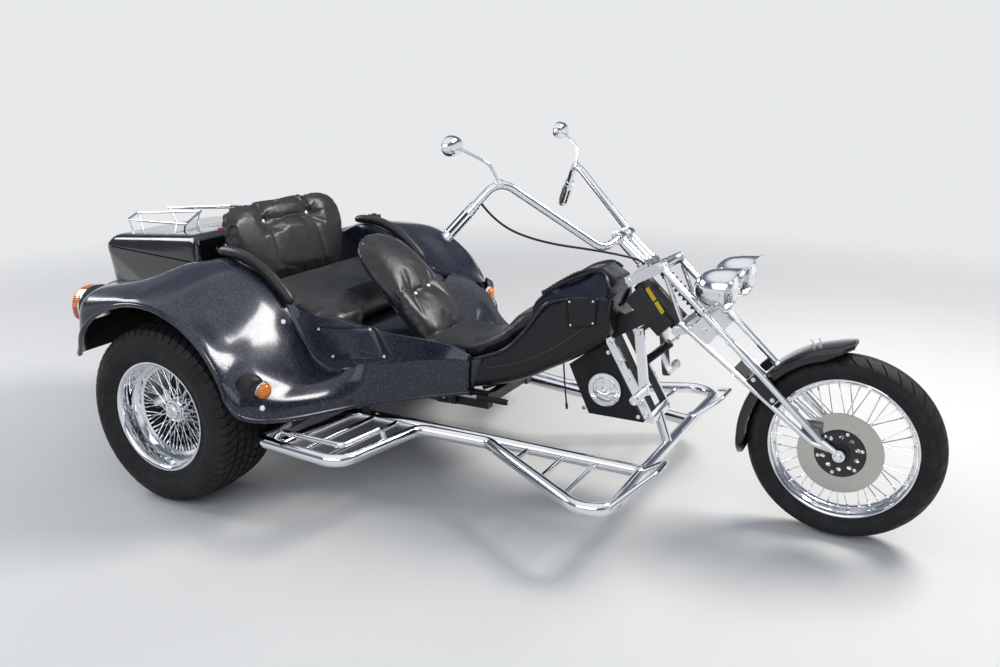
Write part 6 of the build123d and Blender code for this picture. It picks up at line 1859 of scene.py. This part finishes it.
# Lamps
class OBJECT_OT_trike_lamps(bpy.types.Operator):
    """Peaked headlights, bullet indicators and the two-coloured tail lamps"""
    bl_idname = "object.trike_lamps"
    bl_label = "Lamps"

    def execute(self, context):
        bowls, glasses = Shape(), Shape()
        for sign in SIDES.values():
            centre = axle(1.86, sign * 0.12, 0.85)
            forward = (1, 0, 0)
            outside = table("""-.119,.001 -.118,.014 -.112,.03 -.1,.045 -.084,.0575 -.064,.0665 -.044,.0705
                -.016,.0712 -.014,.0738 -.003,.074 0,.0725 0,.068 -.002,.067""")
            inside = table("-.004,.0665 -.02,.062 -.04,.053 -.058,.04 -.072,.024 -.078,.01 -.056,.009 -.054,.001")
            bowls.lathe(centre, forward, outside + inside, 64)
            glasses.lathe(centre, forward, table("""-.003,.0676 .001,.067 .009,.062 .017,.052 .0235,.038 .0275,.02
                .029,.001"""), 64)
            peak = []
            for reach, more in table("-.034,.0722 -.016,.075 .004,.0762 .022,.078 .04,.081 .056,.085"):
                row = []
                for k in range(41):
                    turn = math.radians(4 + 172 * k / 40)
                    middle = math.sin(turn)
                    point = 1 - abs(k / 20 - 1)
                    along = reach * point ** 1.3 if reach > 0 else reach
                    more_here = 0.075 + (more - 0.075) * middle ** 3
                    row.append(centre + Vector((along, more_here * math.cos(turn), more_here * math.sin(turn))))
                peak.append(row)
            lower = [[point - Vector((0, (point - centre).y, (point - centre).z)) * 0.03 for point in row]
                for row in peak]
            bowls.loft([row + inner[::-1] for row, inner in zip(peak, lower)])
            stem = [centre + Vector((-0.06, 0, -0.058)), centre + Vector((-0.078, -sign * 0.003, -0.08)),
                fork(0.118, 0.158, sign * 0.1)]
            bowls.tube(smooth_line(stem, 6), 0.0105, 18)
            bowls.lathe(centre + Vector((-0.055, 0, -0.05)), (-0.2, 0, -1), table("""0,.022 .014,.02 .022,.015
                .023,.004"""), 24)
            bowls.bolt(fork(0.112, 0.152, sign * 0.114), (0, sign, 0), 0.009, 0.008)
        bowls.rod(fork(0.112, 0.152, -0.1135), fork(0.112, 0.152, 0.1135), 0.0118, 20)
        bowls.piece("headlight_bowls", "chrome", "steering", angle=35, stands_for="headlights", slot="chrome")
        glasses.piece("headlight_glasses", "clear_glass", "steering", angle=60)

        bullets = Shape()
        for sign in SIDES.values():
            start, end = axle(0.36, sign * 0.824, 0.507), axle(0.46, sign * 0.832, 0.478)
            along = (end - start).normalized()
            length = (end - start).length
            side_way = Vector((0, -sign, 0))
            lift = side_way.cross(along).normalized() * sign
            tip = end - along * 0.034
            rows = []
            for t in (0.0, 0.12, 0.28, 0.45, 0.62, 0.8, 0.93, 1.0):
                curve = math.sin(t * math.pi / 2)
                middle = axle(0.404, sign * 0.862, 0.49).lerp(tip, t) \
                    + Vector((0.014, sign * 0.018, 0.004)) * math.sin(t * math.pi)
                wide = Vector((0.034, -sign * 0.044, 0)).lerp(side_way * 0.0335, curve)
                tall = Vector((0, 0, 0.064)).lerp(lift * 0.0335 * (1 if lift.z > 0 else -1), curve)
                rows.append(circle(middle, wide, tall, 1, 40))
            bullets.loft(rows)
            bullets.lathe(start, along, [(length - 0.036, 0.03), (length - 0.036, 0.034), (length - 0.03, 0.0345),
                (length - 0.026, 0.033), (length - 0.025, 0.029)], 40, 1)
            bullets.lathe(start, along, [(length - 0.028, 0.0305), (length - 0.02, 0.03), (length - 0.01, 0.0265),
                (length - 0.003, 0.019), (length, 0.009), (length + 0.0005, 0.0005)], 40, 2)
        bullets.piece("bullet_indicators", "black_plastic chrome amber_lens", "chassis", angle=32, bevel=0.0015,
            stands_for="front_indicators", slot="lamp_amber")

        tails = Shape()
        for sign in SIDES.values():
            corners = [Vector(c) for c in table(".697,.626 .838,.622 .846,.696 .812,.744 .752,.757 .697,.744")]
            ring = rounded_loop(corners, [0.018, 0.028, 0.024, 0.03, 0.024, 0.018], [6] * 6)
            rows = shrunk(ring, table("""1,.441 1,.448 .985,.4495 .975,.4495 .972,.464 .965,.476 .94,.484 .88,.4885
                .7,.4905 .4,.4915"""), lambda flat, back: axle(-back, sign * flat.x, flat.y))
            tails.grid(rows[:4], 2, round_columns=True)
            start = len(tails.faces)
            tails.grid(rows[3:], round_columns=True)
            for index in range(start, len(tails.faces)):
                height = sum((tails.points[i].z for i in tails.faces[index]), 0.0) / 4
                tails.finishes[index] = 0 if height > 0.682 else 1
            count = len(ring)
            tails.add(rows[-1], [list(range(count))], 1)
            tails.add(rows[0], [list(range(count))], 2)
        tails.piece("two_colour_tail_lamps", "amber_lens red_lens chrome", "chassis", angle=35,
            stands_for="tail_lamps", slot="lamp_red")
        return {"FINISHED"}


class VIEW3D_PT_trike(bpy.types.Panel):
    """Lists the trike's pieces in the sidebar"""
    bl_label = "Motorized Trike"
    bl_idname = "VIEW3D_PT_trike"
    bl_space_type = "VIEW_3D"
    bl_region_type = "UI"
    bl_category = "Trike"

    def draw(self, context):
        layout = self.layout
        for name, group in GROUPS.items():
            box = layout.box()
            values = getattr(context.scene, name)
            for key in group.__annotations__:
                box.prop(values, key)
        for operator in OPERATORS:
            layout.operator(operator.bl_idname)


GROUPS = {"trike_stage": TrikeStage, "trike_paint": TrikePaint, "trike_wheels": TrikeWheels,
    "trike_seats": TrikeSeats}
OPERATORS = [OBJECT_OT_trike_stage, OBJECT_OT_trike_cords, OBJECT_OT_trike_rear_wheels,
    OBJECT_OT_trike_front_wheel, OBJECT_OT_trike_body, OBJECT_OT_trike_boot, OBJECT_OT_trike_passenger_seat,
    OBJECT_OT_trike_driver_seat, OBJECT_OT_trike_spine, OBJECT_OT_trike_underbody, OBJECT_OT_trike_front_works,
    OBJECT_OT_trike_steps, OBJECT_OT_trike_fork, OBJECT_OT_trike_front_fender, OBJECT_OT_trike_handlebar,
    OBJECT_OT_trike_lamps]


def register():
    for name, group in GROUPS.items():
        bpy.utils.register_class(group)
        setattr(bpy.types.Scene, name, bpy.props.PointerProperty(type=group))
    for operator in OPERATORS:
        bpy.utils.register_class(operator)
    bpy.utils.register_class(VIEW3D_PT_trike)


def unregister():
    bpy.utils.unregister_class(VIEW3D_PT_trike)
    for operator in reversed(OPERATORS):
        bpy.utils.unregister_class(operator)
    for name, group in GROUPS.items():
        delattr(bpy.types.Scene, name)
        bpy.utils.unregister_class(group)


def main():
    register()
    for operator in OPERATORS:
        group, name = operator.bl_idname.split(".")
        getattr(getattr(bpy.ops, group), name)()


if __name__ == "__main__":
    main()
